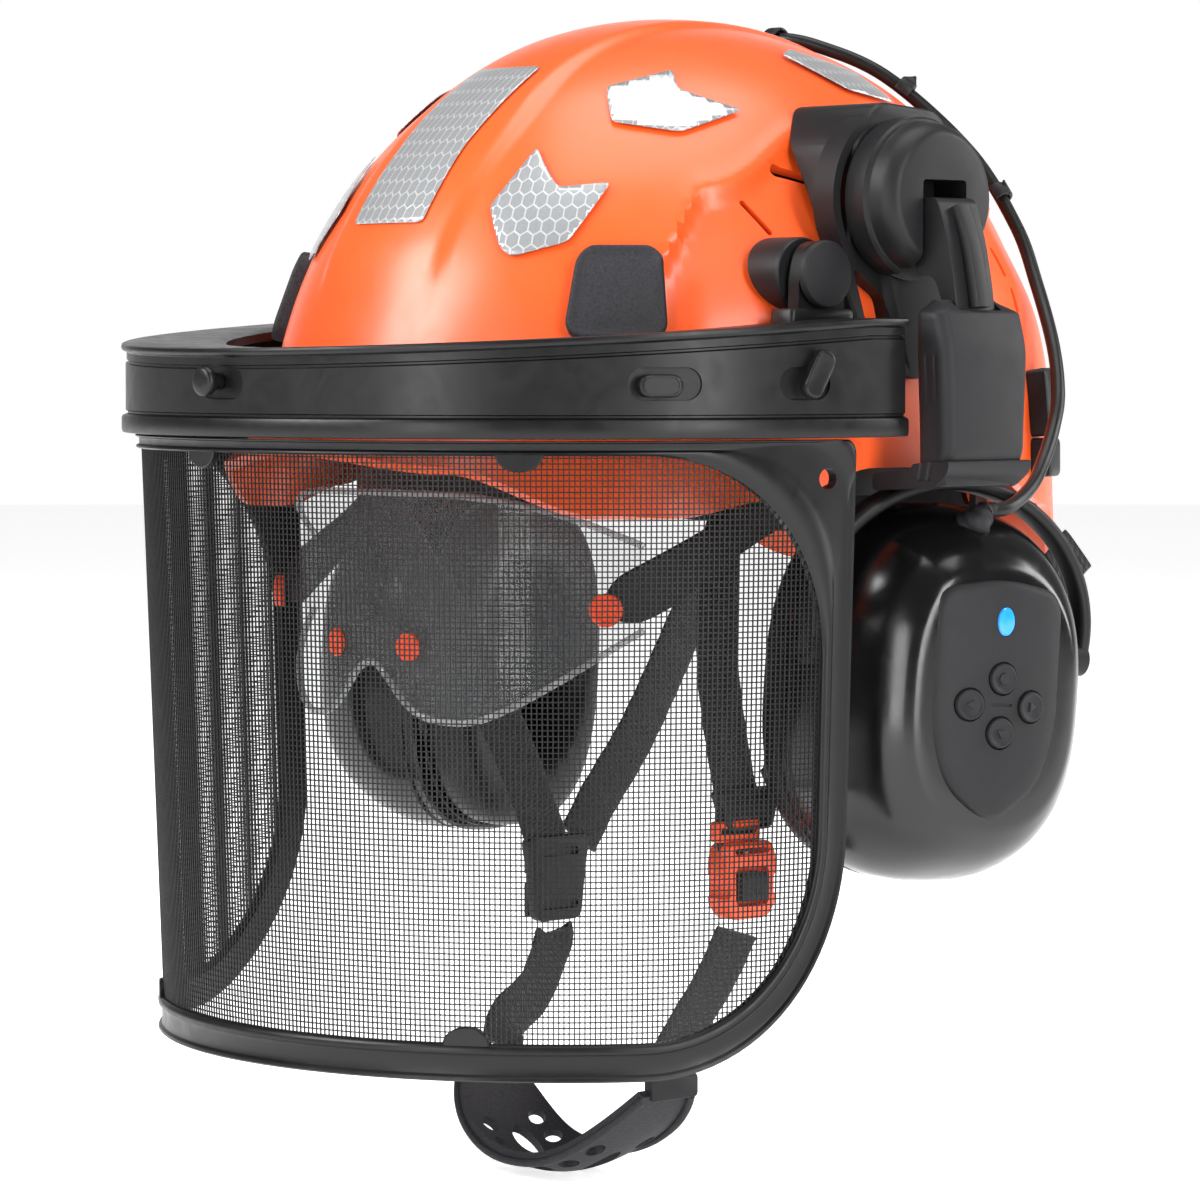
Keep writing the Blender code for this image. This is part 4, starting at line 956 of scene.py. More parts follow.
def make_eye_shield():
    """The clear lens with a rolled edge, the nose piece, its two arms and the orange rivets."""
    rows = []
    for share in np.linspace(0, 1, 25):
        row = []
        for x in np.linspace(-72, 72, 97):
            low, high = shield_limits(x)
            row.append(shield_point(x, high + (low - high) * share))
        rows.append(row)
    lens = sheet("eye_shield_lens", rows, LENS, 1.6)
    ride(bevel(lens, 0.5, 3, 50), "eye_shield", "clear_lens", "shield_lens")
    for name, edge in (("top", rows[0]), ("bottom", rows[-1])):
        rolled = tube(f"lens_edge_{name}", edge, 1.0, LENS_EDGE, 10)
        ride(rolled, "eye_shield", "clear_lens")

    outline = [(x, -46 + 5 * math.cos(x / 9) - 1.5) for x in np.linspace(20, -20, 25)]
    outline += [(x, -60 + 5 * math.cos(x / 9) + 3.5 * (x / 20) ** 2) for x in np.linspace(-20, 20, 25)]
    rings = []
    for scale, inward in ((1, 2.3), (1, 4.6), (0.94, 5.3), (0.8, 5.4)):
        rings.append([shield_point(x * scale, -51.5 + (z + 51.5) * scale, inward) for x, z in outline])
    nose = loft("nose_piece", rings, SOFT_BLACK)
    ride(nose, "eye_shield", "black_plastic", "nose_bridge")
    for number, x in enumerate((-15.5, 15.5)):
        middle = shield_point(x, -49.5)
        out = (middle - shield_point(x, -49.5, 4)).normalized()
        rivet = stud_on(f"nose_rivet_{number}", middle, out, 4.0, ORANGE_PARTS, 0.1, 1.3)
        ride(rivet, "eye_shield", "orange_plastic")
    route_left = [(69.5, -85.5, -38), (76, -72, -31), (80.5, -53, -20), (84.5, -32, -7), (86, -10, 2)]
    for word, _, side in SIDES:
        points = smooth_route([on_side(p, side) for p in route_left], 49)
        def section(i, last=48):
            ends = 1 - 0.55 * math.exp(-(min(i, last - i) / 2.2) ** 1.5)
            waist = 1 - 0.22 * math.exp(-(((i - 22) / 9) ** 2))
            return [(a * ends * waist, b) for a, b in rounded(7.4, 1.15, 0.9, 4)]
        arm = sweep(f"shield_arm_{word}_piece", points, section, SOFT_BLACK, face=(side, -0.5, 0))
        ride(arm, "eye_shield", "black_plastic", f"shield_arm_{word}")
        spot = shield_point(side * 66, -38)
        out = Vector((side * 0.72, -0.69, 0)).normalized()
        rivet = stud_on(f"orange_rivet_{word}", spot, out, 4.6, ORANGE_PARTS, 6.1, 8.5)
        ride(rivet, "eye_shield", "orange_plastic", f"temple_rivet_{word}")


def stud_on(name, middle, out, radius, finish, low, high):
    """A turned stud with a domed rim and a shallow dish."""
    across = out.cross(Vector((0, 0, 1))).normalized()
    up = across.cross(out).normalized()
    levels = [(1.0, low), (1.0, high - 0.5), (0.94, high - 0.12), (0.84, high), (0.7, high),
              (0.62, high - 0.3), (0.1, high - 0.35)]
    return stack(name, arc(radius, radius, 0, 348, 30),
                 lambda u, v, h: middle + across * u + up * v + out * h,
                 levels, finish)


# ---------------------------------------------------------------- carriers on the shell's sides


def seated(outline, side, inset_levels, finish, name):
    """A plate standing off the shell: its back follows the dome, and its face is flat where it can be."""
    centre_y = sum(y for y, _ in outline) / len(outline)
    centre_z = sum(z for _, z in outline) / len(outline)
    rings = []
    for kind, scale, x in inset_levels:
        ring = []
        for y, z in outline:
            py, pz = centre_y + (y - centre_y) * scale, centre_z + (z - centre_z) * scale
            if kind == "seat":
                ring.append(Vector((side * (dome_x(py, pz, 0.9) + x), py, pz)))
            elif kind == "face":
                ring.append(Vector((side * max(x, dome_x(py, pz, 0.9) + x - 96.0), py, pz)))
            else:
                ring.append(Vector((side * x, py, pz)))
        rings.append(ring)
    return loft(name, rings, finish)


def dome_x(y, z, margin):
    """How far out the dome is at this y and z."""
    low, high = 0.0, math.pi
    for _ in range(40):
        middle = (low + high) / 2
        if dome_point(middle, z, margin).y < y:
            low = middle
        else:
            high = middle
    return dome_point((low + high) / 2, z, margin).x


def make_carriers():
    """The bracket for the muff's disc, with a half ring round the disc and a ribbed pocket below it."""
    body = softened([(-22, 90), (-12, 101), (12, 99), (24, 84), (24, 62), (17, 30), (-2, 24), (-17, 26),
                     (-22, 36), (-24.5, 46), (-24.5, 58), (-24, 72)], 4.5, 6)
    for word, _, side in SIDES:
        plate = seated(body, side, [("seat", 1, 0.0), ("seat", 1, 0.6), ("face", 1, 98.2),
                                          ("face", 0.985, 99.2), ("face", 0.95, 99.8)], SATIN_BLACK,
                       f"carrier_plate_{word}")
        extras = []
        y0, z0 = DISC_CENTRE
        ring_outline = arc(25.6, 25.6, 118, 292, 44, (y0, z0)) + arc(22.9, 22.9, 292, 118, 44, (y0, z0))
        extras.append(loft("half_ring", [[(side * x, y, z) for y, z in ring_outline] for x in (92, 99.9)],
                           SATIN_BLACK))
        for y, z, half_y, half_z in ((-9.5, 38, 1.0, 9.0), (3.0, 37, 1.0, 9.5), (11, 37, 1.0, 9.0),
                                     (1.0, 29.5, 13, 1.0)):
            rib = rounded(half_y, half_z, 0.7, 3)
            extras.append(loft("rib", [[(side * x, y + a, z + b) for a, b in rib] for x in (92, 99.6)],
                               SATIN_BLACK))
        boolean(plate, extras, "UNION")
        pocket = softened([(-22, 55), (-12, 47), (-12, 33), (-19, 30)], 2)
        boolean(plate,
                [loft("pocket", [[(side * x, y, z) for y, z in pocket] for x in (95.2, 110)], SATIN_BLACK)])
        ride(bevel(plate, 0.45, 2), "helmet", "satin_plastic", f"carrier_{word}")

        link = [*arc(10.2, 10.2, 50, 310, 36, (-39, 53)), (-30, 47.2), (-25.8, 47.6), (-25.8, 56.5),
                (-30, 57.6)]
        post = seated(link, side, [("seat", 1, 0.0), ("flat", 1, 96.6), ("flat", 0.985, 97.4),
                                         ("flat", 0.95, 97.9)], SATIN_BLACK, f"pivot_post_{word}")
        bore = arc(3.5, 3.5, 0, 345, 24, (-38, 53))
        boolean(post, [loft("bore", [[(side * x, y, z) for y, z in bore] for x in (70, 110)], SATIN_BLACK)])
        ride(post, "helmet", "satin_plastic", f"visor_pivot_{word}")
        cap = stack(f"pivot_cap_{word}", arc(1, 1, 0, 350, 36),
                    lambda u, v, h, side=side: Vector((side * h, -38 + u, 53 + v)),
                    [(4.5, 103.6), (8.6, 103.7), (9.2, 104.2), (9.2, 105.6), (8.8, 106.2), (8.0, 106.5),
                     (1.0, 106.6)], SOFT_BLACK)
        ride(cap, "visor", "black_plastic")


# ---------------------------------------------------------------- ear muffs


def cup_point(side, w, f, z):
    """A point in the cup's own frame: w outwards, f to the rear, z up, toed in and leant."""
    f, z = f * math.cos(CUP_LEAN) + z * math.sin(CUP_LEAN), z * math.cos(CUP_LEAN) - f * math.sin(CUP_LEAN)
    x = CUP_CENTRE[0] + w * math.cos(CUP_TOE) + f * math.sin(CUP_TOE)
    y = CUP_CENTRE[1] - w * math.sin(CUP_TOE) + f * math.cos(CUP_TOE)
    return Vector((side * x, y, CUP_CENTRE[2] + z))


def oval(half_width, half_height, power=2.6, count=96):
    outline = []
    for a in np.linspace(0, 2 * math.pi, count, endpoint=False):
        c, s = math.cos(a), math.sin(a)
        outline.append((
            half_width * math.copysign(abs(c) ** (2 / power), c),
            half_height * math.copysign(abs(s) ** (2 / power), s),
        ))
    return outline


def cup_ring(side, w, scale):
    return [cup_point(side, w, f, z)
            for f, z in oval(CUP_HALF_WIDTH * scale, CUP_HALF_HEIGHT * scale)]


CUP_LINE = (
    (-13, 0.985), (-12.2, 1.0), (-10, 1.0), (-9.4, 0.982), (-8.6, 0.98), (-8.0, 1.0), (-4, 1.0),
    (0, 0.997), (4, 0.987), (8, 0.970), (12, 0.946), (16, 0.916), (20, 0.880), (24, 0.834),
    (27, 0.787), (29, 0.75), (31, 0.706), (32.2, 0.675), (33, 0.64), (33.2, 0.55), (33.2, 0.3),
    (33.2, 0.06),
)


def make_cup(side, word, letter):
    """The glossy cup with a groove round its rim, open to the ear, and its soft cushion."""
    rings = [cup_ring(side, w, scale) for w, scale in CUP_LINE]
    inside = [(29.5, 0.06), (29.5, 0.5), (29.5, 0.66), (24, 0.76), (12, 0.87), (0, 0.925), (-13, 0.925)]
    rings += [cup_ring(side, w, scale) for w, scale in inside]
    cup = loft(f"cup_shell_{word}", rings, GLOSS_BLACK, closed_loop=True, sharp=40)
    notch = rounded(5, 2.0, 1.9, 5)
    boolean(cup, [loft("notch", [[cup_point(side, w, f, z - 52) for f, z in notch] for w in (12.5, 15.5)],
                       GLOSS_BLACK)])
    ride(cup, f"muff_{letter}", "black_plastic", f"cup_{word}")

    section = []
    for t in np.linspace(0, 360, 25)[:-1]:
        a = math.radians(t)
        section.append((-21.7 + 8.1 * math.copysign(abs(math.sin(a)) ** 0.75, math.sin(a)),
                        0.765 + 0.195 * math.copysign(abs(math.cos(a)) ** 0.75, math.cos(a))))
    rings = []
    count = 96
    for w, scale in section:
        ring = []
        for i, (f, z) in enumerate(oval(CUP_HALF_WIDTH * scale, CUP_HALF_HEIGHT * scale, count=count)):
            pucker = (0.35 * math.sin(i * math.tau / count * 24)
                      * smooth(-19, -28, w) * smooth(0.9, 0.6, scale))
            ring.append(cup_point(side, w + pucker - 0.5, f, z))
        rings.append(ring)
    cushion = loft(f"cushion_{word}", rings, VINYL, closed_loop=True, sharp=60)
    ride(cushion, f"muff_{letter}", "cushion_vinyl", f"ear_cushion_{word}")
    seam = sweep(f"cushion_seam_{word}", [*cup_ring(side, -16.4, 0.965), cup_ring(side, -16.4, 0.965)[0]],
                 arc(0.45, 0.45, 0, 300, 6), VINYL, face=(0.97, 0.2, 0.1))
    ride(seam, f"muff_{letter}", "cushion_vinyl")

    lining = stack(f"ear_foam_{word}", oval(1, 1.0, 2.4, 60),
                   lambda u, v, h: cup_point(side, h, u, v * 1.28), [(0.1, -11.2), (20, -11.2), (21.5, -10.6),
                                                                     (22, -9.2)], BAND_FOAM)
    ride(lining, f"muff_{letter}", "liner_foam")
    middle = cup_point(side, -4, 0, 0)
    out = (cup_point(side, 1, 0, 0) - cup_point(side, 0, 0, 0)).normalized()
    speaker = stud_on(f"speaker_can_{word}", middle, -out, 20, SATIN_BLACK, -4, 4)
    ride(speaker, f"muff_{letter}", "satin_plastic", f"speaker_{word}")


def make_swivel(side, word, letter):
    """The dished disc with a slot for the arm."""
    y0, z0 = DISC_CENTRE
    levels = [(22.2, 101), (22.5, 101.6), (22.5, 108.2), (21.9, 109.0), (21.2, 109.2), (20.9, 110.2),
              (20.9, 112.5),
              (20.2, 114.6), (18.6, 116.6), (17.6, 117.3), (16.8, 117.5), (8, 117.5), (1, 117.5)]
    disc = stack(f"disc_{word}", arc(1, 1, 0, 356, 90), lambda u, v, h: Vector((side * h, y0 + u, z0 + v)),
                 levels,
                 SATIN_BLACK)
    slot = rounded(8.5, 23, 1.2, 4)
    boolean(disc,
            [loft("slot", [[(side * x, y0 + a, 56 + b) for a, b in slot] for x in (105, 150)], SATIN_BLACK)])
    ride(bevel(disc, 0.5, 2, 45), f"swivel_{letter}", "satin_plastic", f"swivel_disc_{word}")
    axle = extruded(f"arm_axle_{word}", arc(2.2, 2.2, 0, 345, 20, (111, 62)), y0 - 8.3, y0 + 8.3, METAL,
                    lambda x, z, h: Vector((side * x, h, z)))
    ride(axle, f"swivel_{letter}", "metal")


def make_arm(side, word, letter):
    """The sprung arm with a raised rib down its middle."""
    y0 = ARM_PIVOT[1]
    line = [(113.5, 74), (121.5, 74), (123.2, 70), (126, 62), (128.6, 50), (130, 40), (130, 8), (126, 8),
            (126, 38), (123.6, 46), (121, 52), (113.5, 54)]
    outline = softened(line, 2.2, 5)
    rings = [[Vector((side * (121 + (x - 121) * k), y0 + h, z)) for x, z in outline]
             for k, h in ((0.97, -7.5), (1, -7.0), (1, 7.0), (0.97, 7.5))]
    arm = loft(f"arm_{word}", rings, SATIN_BLACK)
    rib_line = [(x + 1.4, z) for x, z in ((121.8, 71.5), (125.6, 62.5), (128.4, 51), (129.6, 44))]
    route = smooth_route([(side * x, y0, z) for x, z in rib_line], 15)
    rib = sweep("rib", route, rounded(3.0, 1.6, 0.9, 4), SATIN_BLACK, face=(side, 0, 0.2))
    boolean(arm, [rib], "UNION")
    ride(bevel(arm, 0.3, 2), f"arm_{letter}", "satin_plastic", f"muff_arm_{word}")


def make_yoke(side, word, letter):
    """The long cover with its domed top and twin grooves, and the wire fork round the cup."""
    y0 = ARM_PIVOT[1]
    rings = []
    for z in (*np.linspace(42.2, 46.0, 9)[::-1], *np.linspace(40.5, 2, 23), 0.5, -1.5, -3.5, -4.6):
        top = smooth(46.3, 42.0, z)
        face = 135.6 - 3.2 * smooth(30, 47, z) - 5.0 * smooth(6, -6, z)
        half = 16.5 - 1.0 * smooth(34, 4, z) - (1 - top) * 5.5
        back = 121.5
        flare = (1 - top) * 4
        ring = []
        for u, v in rounded(half, (face - back - flare) / 2, 3.4, 7):
            x = (face - flare + back) / 2 + v
            crown = 1.2 * (1 - (u / half) ** 2) * (1 if v > 0 else 0) - 1.2
            ring.append(Vector((side * (x + crown * (1 if v > 0 else 0)), y0 + u, z)))
        rings.append(ring)
    cover = loft(f"arm_cover_{word}", rings, SOFT_BLACK, sharp=40)
    foot = [(121, 1.5), (135.2, 2.5), (134.4, -1), (129, -5), (106, -6), (106, -1.2), (121, 0.2)]
    extras = [loft("foot", [[(side * x, y0 + h, z) for x, z in softened(foot, 1.5, 4)]
                            for h in (-16.3, 16.3)], SOFT_BLACK)]
    boolean(cover, extras, "UNION")
    channel = rounded(3.8, 8.2, 0.6, 3)
    cuts = [loft("channel", [[(side * (127.5 + a), y0 + b, z) for a, b in channel] for z in (2.5, 70)],
                 SOFT_BLACK)]
    for shift in (0.0, 3.2):
        groove = smooth_route([(side * (126.3 + shift), y0 - 17.4, 31),
                               (side * (126.6 + shift), y0 - 17.0, 12),
                               (side * (124.0 + shift), y0 - 16.9, -3.0)], 21)
        cuts.append(tube("groove", groove, 1.15, GLOSS_BLACK, 10))
    boolean(cover, cuts)
    ride(bevel(cover, 0.4, 2, 45), f"yoke_{letter}", "satin_plastic", f"muff_yoke_{word}")

    route = []
    for degrees in np.linspace(-12, 192, 73):
        a = math.radians(degrees)
        z = 19 + (CUP_HALF_HEIGHT + 5.5 - 19) * math.sin(a) if math.sin(a) > 0 else 19 + 40 * math.sin(a)
        route.append(cup_point(side, 7.0, (CUP_HALF_WIDTH + 5.2) * math.cos(a), z))
    out = cup_point(side, 1, 0, 0) - cup_point(side, 0, 0, 0)
    middle = len(route) // 2
    fork = sweep(f"fork_band_{word}", route,
                 lambda i: rounded(1.9, 3.4 + 2.2 * math.exp(-(((i - middle) / 16) ** 2)), 1.7, 5),
                 SATIN_BLACK,
                 face=tuple(out), sharp=60)
    ride(fork, f"yoke_{letter}", "satin_plastic")
    for number, end in enumerate((route[0], route[-1])):
        inward = (cup_point(side, 7.0, 0, 11) - end)
        inward = (inward - out * inward.dot(out)).normalized()
        knuckle = stud_on(f"fork_knuckle_{word}_{number}", end + Vector((0, 0, 0.5)), -inward, 4.6,
                          SATIN_BLACK,
                          -3.2, 1.9)
        ride(knuckle, f"yoke_{letter}", "satin_plastic")


def make_controls():
    """The shield-shaped panel on the left cup, its four keys, the middle dash and the lamp."""
    corners = [(-20.5, 30), (0, 33.2), (20.5, 30), (21, -8), (15, -24), (0, -34.5), (-15, -24), (-21, -8)]
    outline = softened(corners, 7, 7)

    def place(u, v, height):
        return cup_point(1, 33.3 + height - 0.006 * u * u, u, v)
    panel = stack("control_plate", outline, place,
                  [(1, -2.2), (1, 1.3), (0.985, 2.1), (0.955, 2.7), (0.92, 3.0), (0.75, 3.2), (0.5, 3.25),
                   (0.25, 3.25), (0.04, 3.25)], SOFT_BLACK)
    spots = {"up": (0, 7.4), "down": (0, -7.4), "front": (-10, 0), "rear": (10, 0)}
    wells = []
    for f, z in spots.values():
        wells.append(loft("well", [[place(f + u, z - 1.5 + v, h) for u, v in arc(4.7, 4.7, 0, 345, 24)]
                                   for h in (1.4, 8)], SOFT_BLACK))
    wells.append(loft("well",
                      [[place(u, 21.5 + v, h) for u, v in arc(2.9, 4.1, 0, 345, 28)] for h in (1.8, 8)],
                      SOFT_BLACK))
    wells.append(loft("well",
                      [[place(u, v - 1.2, h) for u, v in rounded(3.4, 0.45, 0.44, 4)] for h in (2.9, 8)],
                      SOFT_BLACK))
    boolean(panel, wells)
    ride(bevel(panel, 0.25, 2, 45), "muff_l", "satin_plastic", "control_panel")
    for word, (f, z) in spots.items():
        key = stack(f"key_{word}", arc(4.25, 4.25, 0, 348, 30),
                    lambda u, v, h, f=f, z=z: place(f + u, z - 1.5 + v, h),
                    [(1, 2.5), (1, 3.7), (0.94, 4.15), (0.84, 4.3), (0.74, 4.05), (0.66, 3.85), (0.1, 3.8)],
                    SOFT_BLACK)
        ride(key, f"key_{word}", "satin_plastic", f"button_{word}")
        sign = arc(1.5, 1.5, 90, 330, 3) if word != "up" else arc(1.5, 1.5, 0, 330, 12)
        turn = {"up": 0, "down": 180, "front": 90, "rear": -90}[word]
        a = math.radians(turn)
        sign = [(u * math.cos(a) - v * math.sin(a), u * math.sin(a) + v * math.cos(a)) for u, v in sign]
        relief_mark = stack(f"key_mark_{word}", sign, lambda u, v, h, f=f, z=z: place(f + u, z - 1.5 + v, h),
                            [(1, 3.7), (1, 4.1), (0.8, 4.2)], SOFT_BLACK)
        ride(relief_mark, f"key_{word}", "satin_plastic")
    lamp = stack("lamp_lens", arc(2.7, 3.9, 0, 350, 36), lambda u, v, h: place(u, 21.5 + v, h),
                 [(1, 2.0), (1, 3.2), (0.9, 3.6), (0.6, 3.75), (0.1, 3.8)], LAMP)
    ride(lamp, "muff_l", "led_blue", "status_lamp")
    for node, finish in (("circuit_board", BOARD), ("battery", METAL)):
        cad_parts[node].data.materials.clear()
        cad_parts[node].data.materials.append(finish)


# ---------------------------------------------------------------- chin strap

STRAPS = {
    "front_strap_right": ((-77.5, -47, 8), (-76, -45, -10), (-69, -40, -29), (-61, -27, -54), (-57, -12, -84),
                          (-56, 1, -112)),
    "rear_strap_right": ((-76, 96, -26), (-70, 76, -50), (-61, 46, -84), (-57.5, 28, -102),
                         (-56.5, 23, -107)),
    "chin_strap_right": ((-55.5, 5, -144.4), (-55.2, 4.4, -148), (-48, -9, -160), (-40, -27, -167),
                         (-38.5, -30, -174.2)),
    "front_strap_left": ((77.5, -47, 8), (76, -46, -10), (69.5, -44, -28), (63, -38, -58), (59, -29, -86)),
    "rear_strap_left": ((76, 96, -26), (70, 76, -46), (60, 44, -70), (57, 8, -84), (57, -3, -87.5)),
    "chin_strap_left": ((56, -24, -132), (51, -28, -146), (43.5, -32, -160), (39, -34, -169),
                        (38.5, -34.5, -175.4)),
}
STRAP_WIDTH = 16.0
STRAP_THICKNESS = 1.6


STRAP_ENDS = {
    "front_strap_right": (-56.0, 3, -120), "rear_strap_right": (-56.2, 16, -117), "chin_strap_right": None,
    "front_strap_left": (58.4, -26, -94), "rear_strap_left": (57.6, -12, -93), "chin_strap_left": None,
}


def make_strap(name, route):
    """Flat webbing: a rounded edge each side, and ribs across it at the pitch of the weave."""
    side = 1 if name.endswith("left") else -1
    if STRAP_ENDS[name]:
        route = [*route, STRAP_ENDS[name]]
    length = sum((Vector(b) - Vector(a)).length for a, b in zip(route, route[1:]))
    count = max(30, int(length / 0.55))
    points = smooth_route(route, count)
    half, thick = STRAP_WIDTH / 2, STRAP_THICKNESS / 2
    section = []
    for a in np.radians(np.linspace(0, 360, 33)[:-1]):
        section.append((half * math.copysign(abs(math.cos(a)) ** 0.45, math.cos(a)),
                        thick * math.copysign(abs(math.sin(a)) ** 0.8, math.sin(a))))

    def ribbed(i):
        lift = 1 + 0.16 * math.cos(i * math.tau / 3)
        sway = 0.10 * math.sin(i * 0.31)
        return [(a + sway, b * (lift if abs(a) < half * 0.93 else 1.0)) for a, b in section]
    strap = sweep(name + "_webbing", points, ribbed, WEBBING, face=(side, 0, 0), sharp=70)
    layer = strap.data.uv_layers.new(name="surface")
    ring = len(section)
    for loop in strap.data.loops:
        along, around = divmod(loop.vertex_index, ring)
        layer.data[loop.index].uv = (section[around][0] / 10, along * 0.055)
    return ride(strap, "helmet", "webbing", name)


def make_straps():
    for name, route in STRAPS.items():
        make_strap(name, route)
    for name, centre, height in (("strap_divider_right", (-56.0, 6.5, -128.0), 26),
                                 ("strap_divider_left", (58.0, -22.5, -97.0), 12)):
        centre = Vector(centre)
        half = height / 2

        def place(u, v, h, centre=centre):
            return centre + Vector((h, u, v))
        waist = [(12.6, half), (10.5, 0.15 * half), (8.9, -half), (-8.9, -half), (-10.5, 0.15 * half),
                 (-12.6, half)]
        outline = softened(waist, 3.2, 6)
        body = stack(name + "_slider", outline, place,
                     [(0.93, -2.3), (0.985, -2.0), (1, -1.4), (1, 1.4), (0.985, 2.0), (0.93, 2.3)],
                     SOFT_BLACK)
        bars = [loft("bar", [[place(u, v + z, h) for u, v in rounded(7.2, 1.3, 1.2, 4)] for h in (1.2, 4)],
                     SOFT_BLACK) for z in (-half * 0.62, half * 0.62)]
        boolean(body, bars)
        ride(bevel(body, 0.25, 2, 45), "helmet", "satin_plastic", name)
    for number, z in enumerate((-121.5, -134.5)):
        loop = sweep(f"strap_loop_{number}",
                     smooth_route([(-59.6, -2.5, z), (-59.8, 6, z), (-59.4, 14.5, z)], 30),
                     rounded(5.0, 0.6, 0.5, 4), WEBBING, face=(-1, 0, 0))
        add_flat_map(loop, lambda p: (p.z, p.y))
        ride(loop, "helmet", "webbing")


def make_buckle():
    """The orange side-release buckle with its black release tab, and the small orange slider over it."""
    centre = Vector((57.5, -23.5, -117.0))

    def place(u, v, h):
        return centre + Vector((h, u, v))
    outline = softened([(-8.2, 11), (8.2, 11), (10, 6), (10, -6.5), (6.5, -11), (-6.5, -11), (-10, -6.5),
                        (-10, 6)],
                       2.0, 5)
    body = stack("buckle_shell", outline, place,
                 [(0.9, -4.4), (0.97, -3.9), (1, -3.0), (1, 3.0), (0.97, 3.9), (0.9, 4.4)], ORANGE_PARTS)
    cuts = [loft("window", [[place(u, v - 1.5, h) for u, v in rounded(6.4, 5.4, 1.6, 5)] for h in (1.2, 7)],
                 ORANGE_PARTS)]
    cuts.append(loft("slot", [[place(u, v + 8.4, h) for u, v in rounded(6.6, 0.9, 0.8, 4)] for h in (-7, 7)],
                     ORANGE_PARTS))
    for u in (-8.8, 8.8):
        cuts.append(loft("notch", [[place(u * 1.12 + a, b - 1.5, h) for a, b in rounded(1.6, 3.2, 1.2, 4)]
                                   for h in (-7, 7)], ORANGE_PARTS))
    boolean(body, cuts)
    ride(bevel(body, 0.3, 2, 45), "helmet", "orange_plastic", "buckle_body")
    tab = stack("release_tab", rounded(5.4, 4.1, 1.6, 6),
                lambda u, v, h: place(u, v - 1.6, h),
                [(0.96, 2.1), (1, 2.6), (1, 5.2), (0.95, 5.8), (0.86, 6.0), (0.4, 5.7), (0.1, 5.65)],
                SOFT_BLACK)
    ride(tab, "release", "satin_plastic", "buckle_release")
    base = Vector((57.9, -26.5, -102.9))
    slider_outline = softened([(-8.5, 3.0), (8.5, 3.0), (8.5, -3.0), (-8.5, -3.0)], 1.2, 4)
    slider = stack("strap_keeper", slider_outline, lambda u, v, h: base + Vector((h, u, v)),
                   [(0.95, -1.7), (1, -1.2), (1, 1.2), (0.95, 1.7)], ORANGE_PARTS)
    gap = loft("slot", [[base + Vector((h, u, v)) for u, v in rounded(6.9, 0.8, 0.7, 4)] for h in (-4, 4)],
               ORANGE_PARTS)
    boolean(slider, [gap])
    ride(bevel(slider, 0.25, 2, 45), "helmet", "orange_plastic")
    tail_points = smooth_route([(57.2, -25.5, -110), (57.8, -27.2, -103), (58.6, -27.5, -97),
                                (58.9, -26.6, -92)],
                               40)
    tail = sweep("buckle_webbing", tail_points, rounded(6.6, 0.6, 0.5, 4), WEBBING, face=(1, 0, 0))
    add_flat_map(tail, lambda p: (p.y, p.z))
    ride(tail, "helmet", "webbing")


def chin_point(share, across, lift=0.0):
    x = 40.0 * share
    y = -36.0 + 34.0 * across - 6 * (1 - share**2)
    hollow = 5.0 * (2 * across) ** 2
    z = -179.0 - 26.0 * (1 - abs(share) ** 2.2) + hollow * (1 - share**2)
    return Vector((x, y, z + lift))


def chin_taper(share):
    """How much of its middle width the chin cup keeps, from 1 in the middle to 0.55 at its ends."""
    return 1 - 0.45 * abs(share) ** 5


def make_chin_cup():
    """The rubber chin cup: two curved bands joined by bars, with rows of round holes."""
    rows = []
    for across in np.linspace(-0.5, 0.5, 25):
        rows.append([chin_point(share, across * chin_taper(share)) for share in np.linspace(-1, 1, 91)])
    cup = applied(sheet("chin_rest", rows, PAD_RUBBER, 2.6, offset=-1.0))
    holes = []
    for share, across, radius_x, radius_y in (
        (-0.6, -0.27, 3.0, 3.0), (-0.38, -0.3, 3.2, 3.0), (-0.13, -0.31, 3.2, 3.0), (0.13, -0.31, 3.2, 3.0),
        (0.38, -0.3, 3.2, 3.0), (0.6, -0.27, 3.0, 3.0), (-0.42, 0.02, 7.5, 3.6), (0, 0.0, 8.5, 3.8),
        (0.42, 0.02, 7.5, 3.6), (-0.6, 0.29, 3.0, 3.0), (-0.38, 0.31, 3.2, 3.0), (-0.13, 0.31, 3.2, 3.0),
        (0.13, 0.31, 3.2, 3.0), (0.38, 0.31, 3.2, 3.0), (0.6, 0.29, 3.0, 3.0),
    ):
        middle = chin_point(share, across)
        right = (chin_point(share + 0.02, across) - middle).normalized()
        back = (chin_point(share, across + 0.02) - middle).normalized()
        down = back.cross(right).normalized()
        outline = arc(radius_x, radius_y, 0, 345, 24)
        holes.append(loft("hole", [[middle + right * u + back * v + down * h for u, v in outline]
                                   for h in (-7, 7)], PAD_RUBBER))
    boolean(cup, holes)
    ride(bevel(cup, 0.5, 2, 45), "helmet", "rubber", "chin_cup")
    for number, across in enumerate((-0.5, 0.5)):
        path = [chin_point(s, across * chin_taper(s), -0.6) for s in np.linspace(-0.99, 0.99, 80)]
        rim = tube(f"chin_rim_{number}", path, 1.25, PAD_RUBBER, 10)
        ride(rim, "helmet", "rubber")
    for word, _, side in SIDES:
        top = Vector((side * 39.0, -33.5, -177.2))
        clasp = stack(f"chin_clasp_{word}", rounded(9.0, 3.4, 1.4, 5),
                      lambda u, v, h, top=top: top + Vector((h, u, v)),
                      [(0.92, -2.0), (1, -1.5), (1, 1.5), (0.92, 2.0)], SOFT_BLACK)
        ride(bevel(clasp, 0.25, 2, 45), "helmet", "satin_plastic")


# ---------------------------------------------------------------- lead between the cups

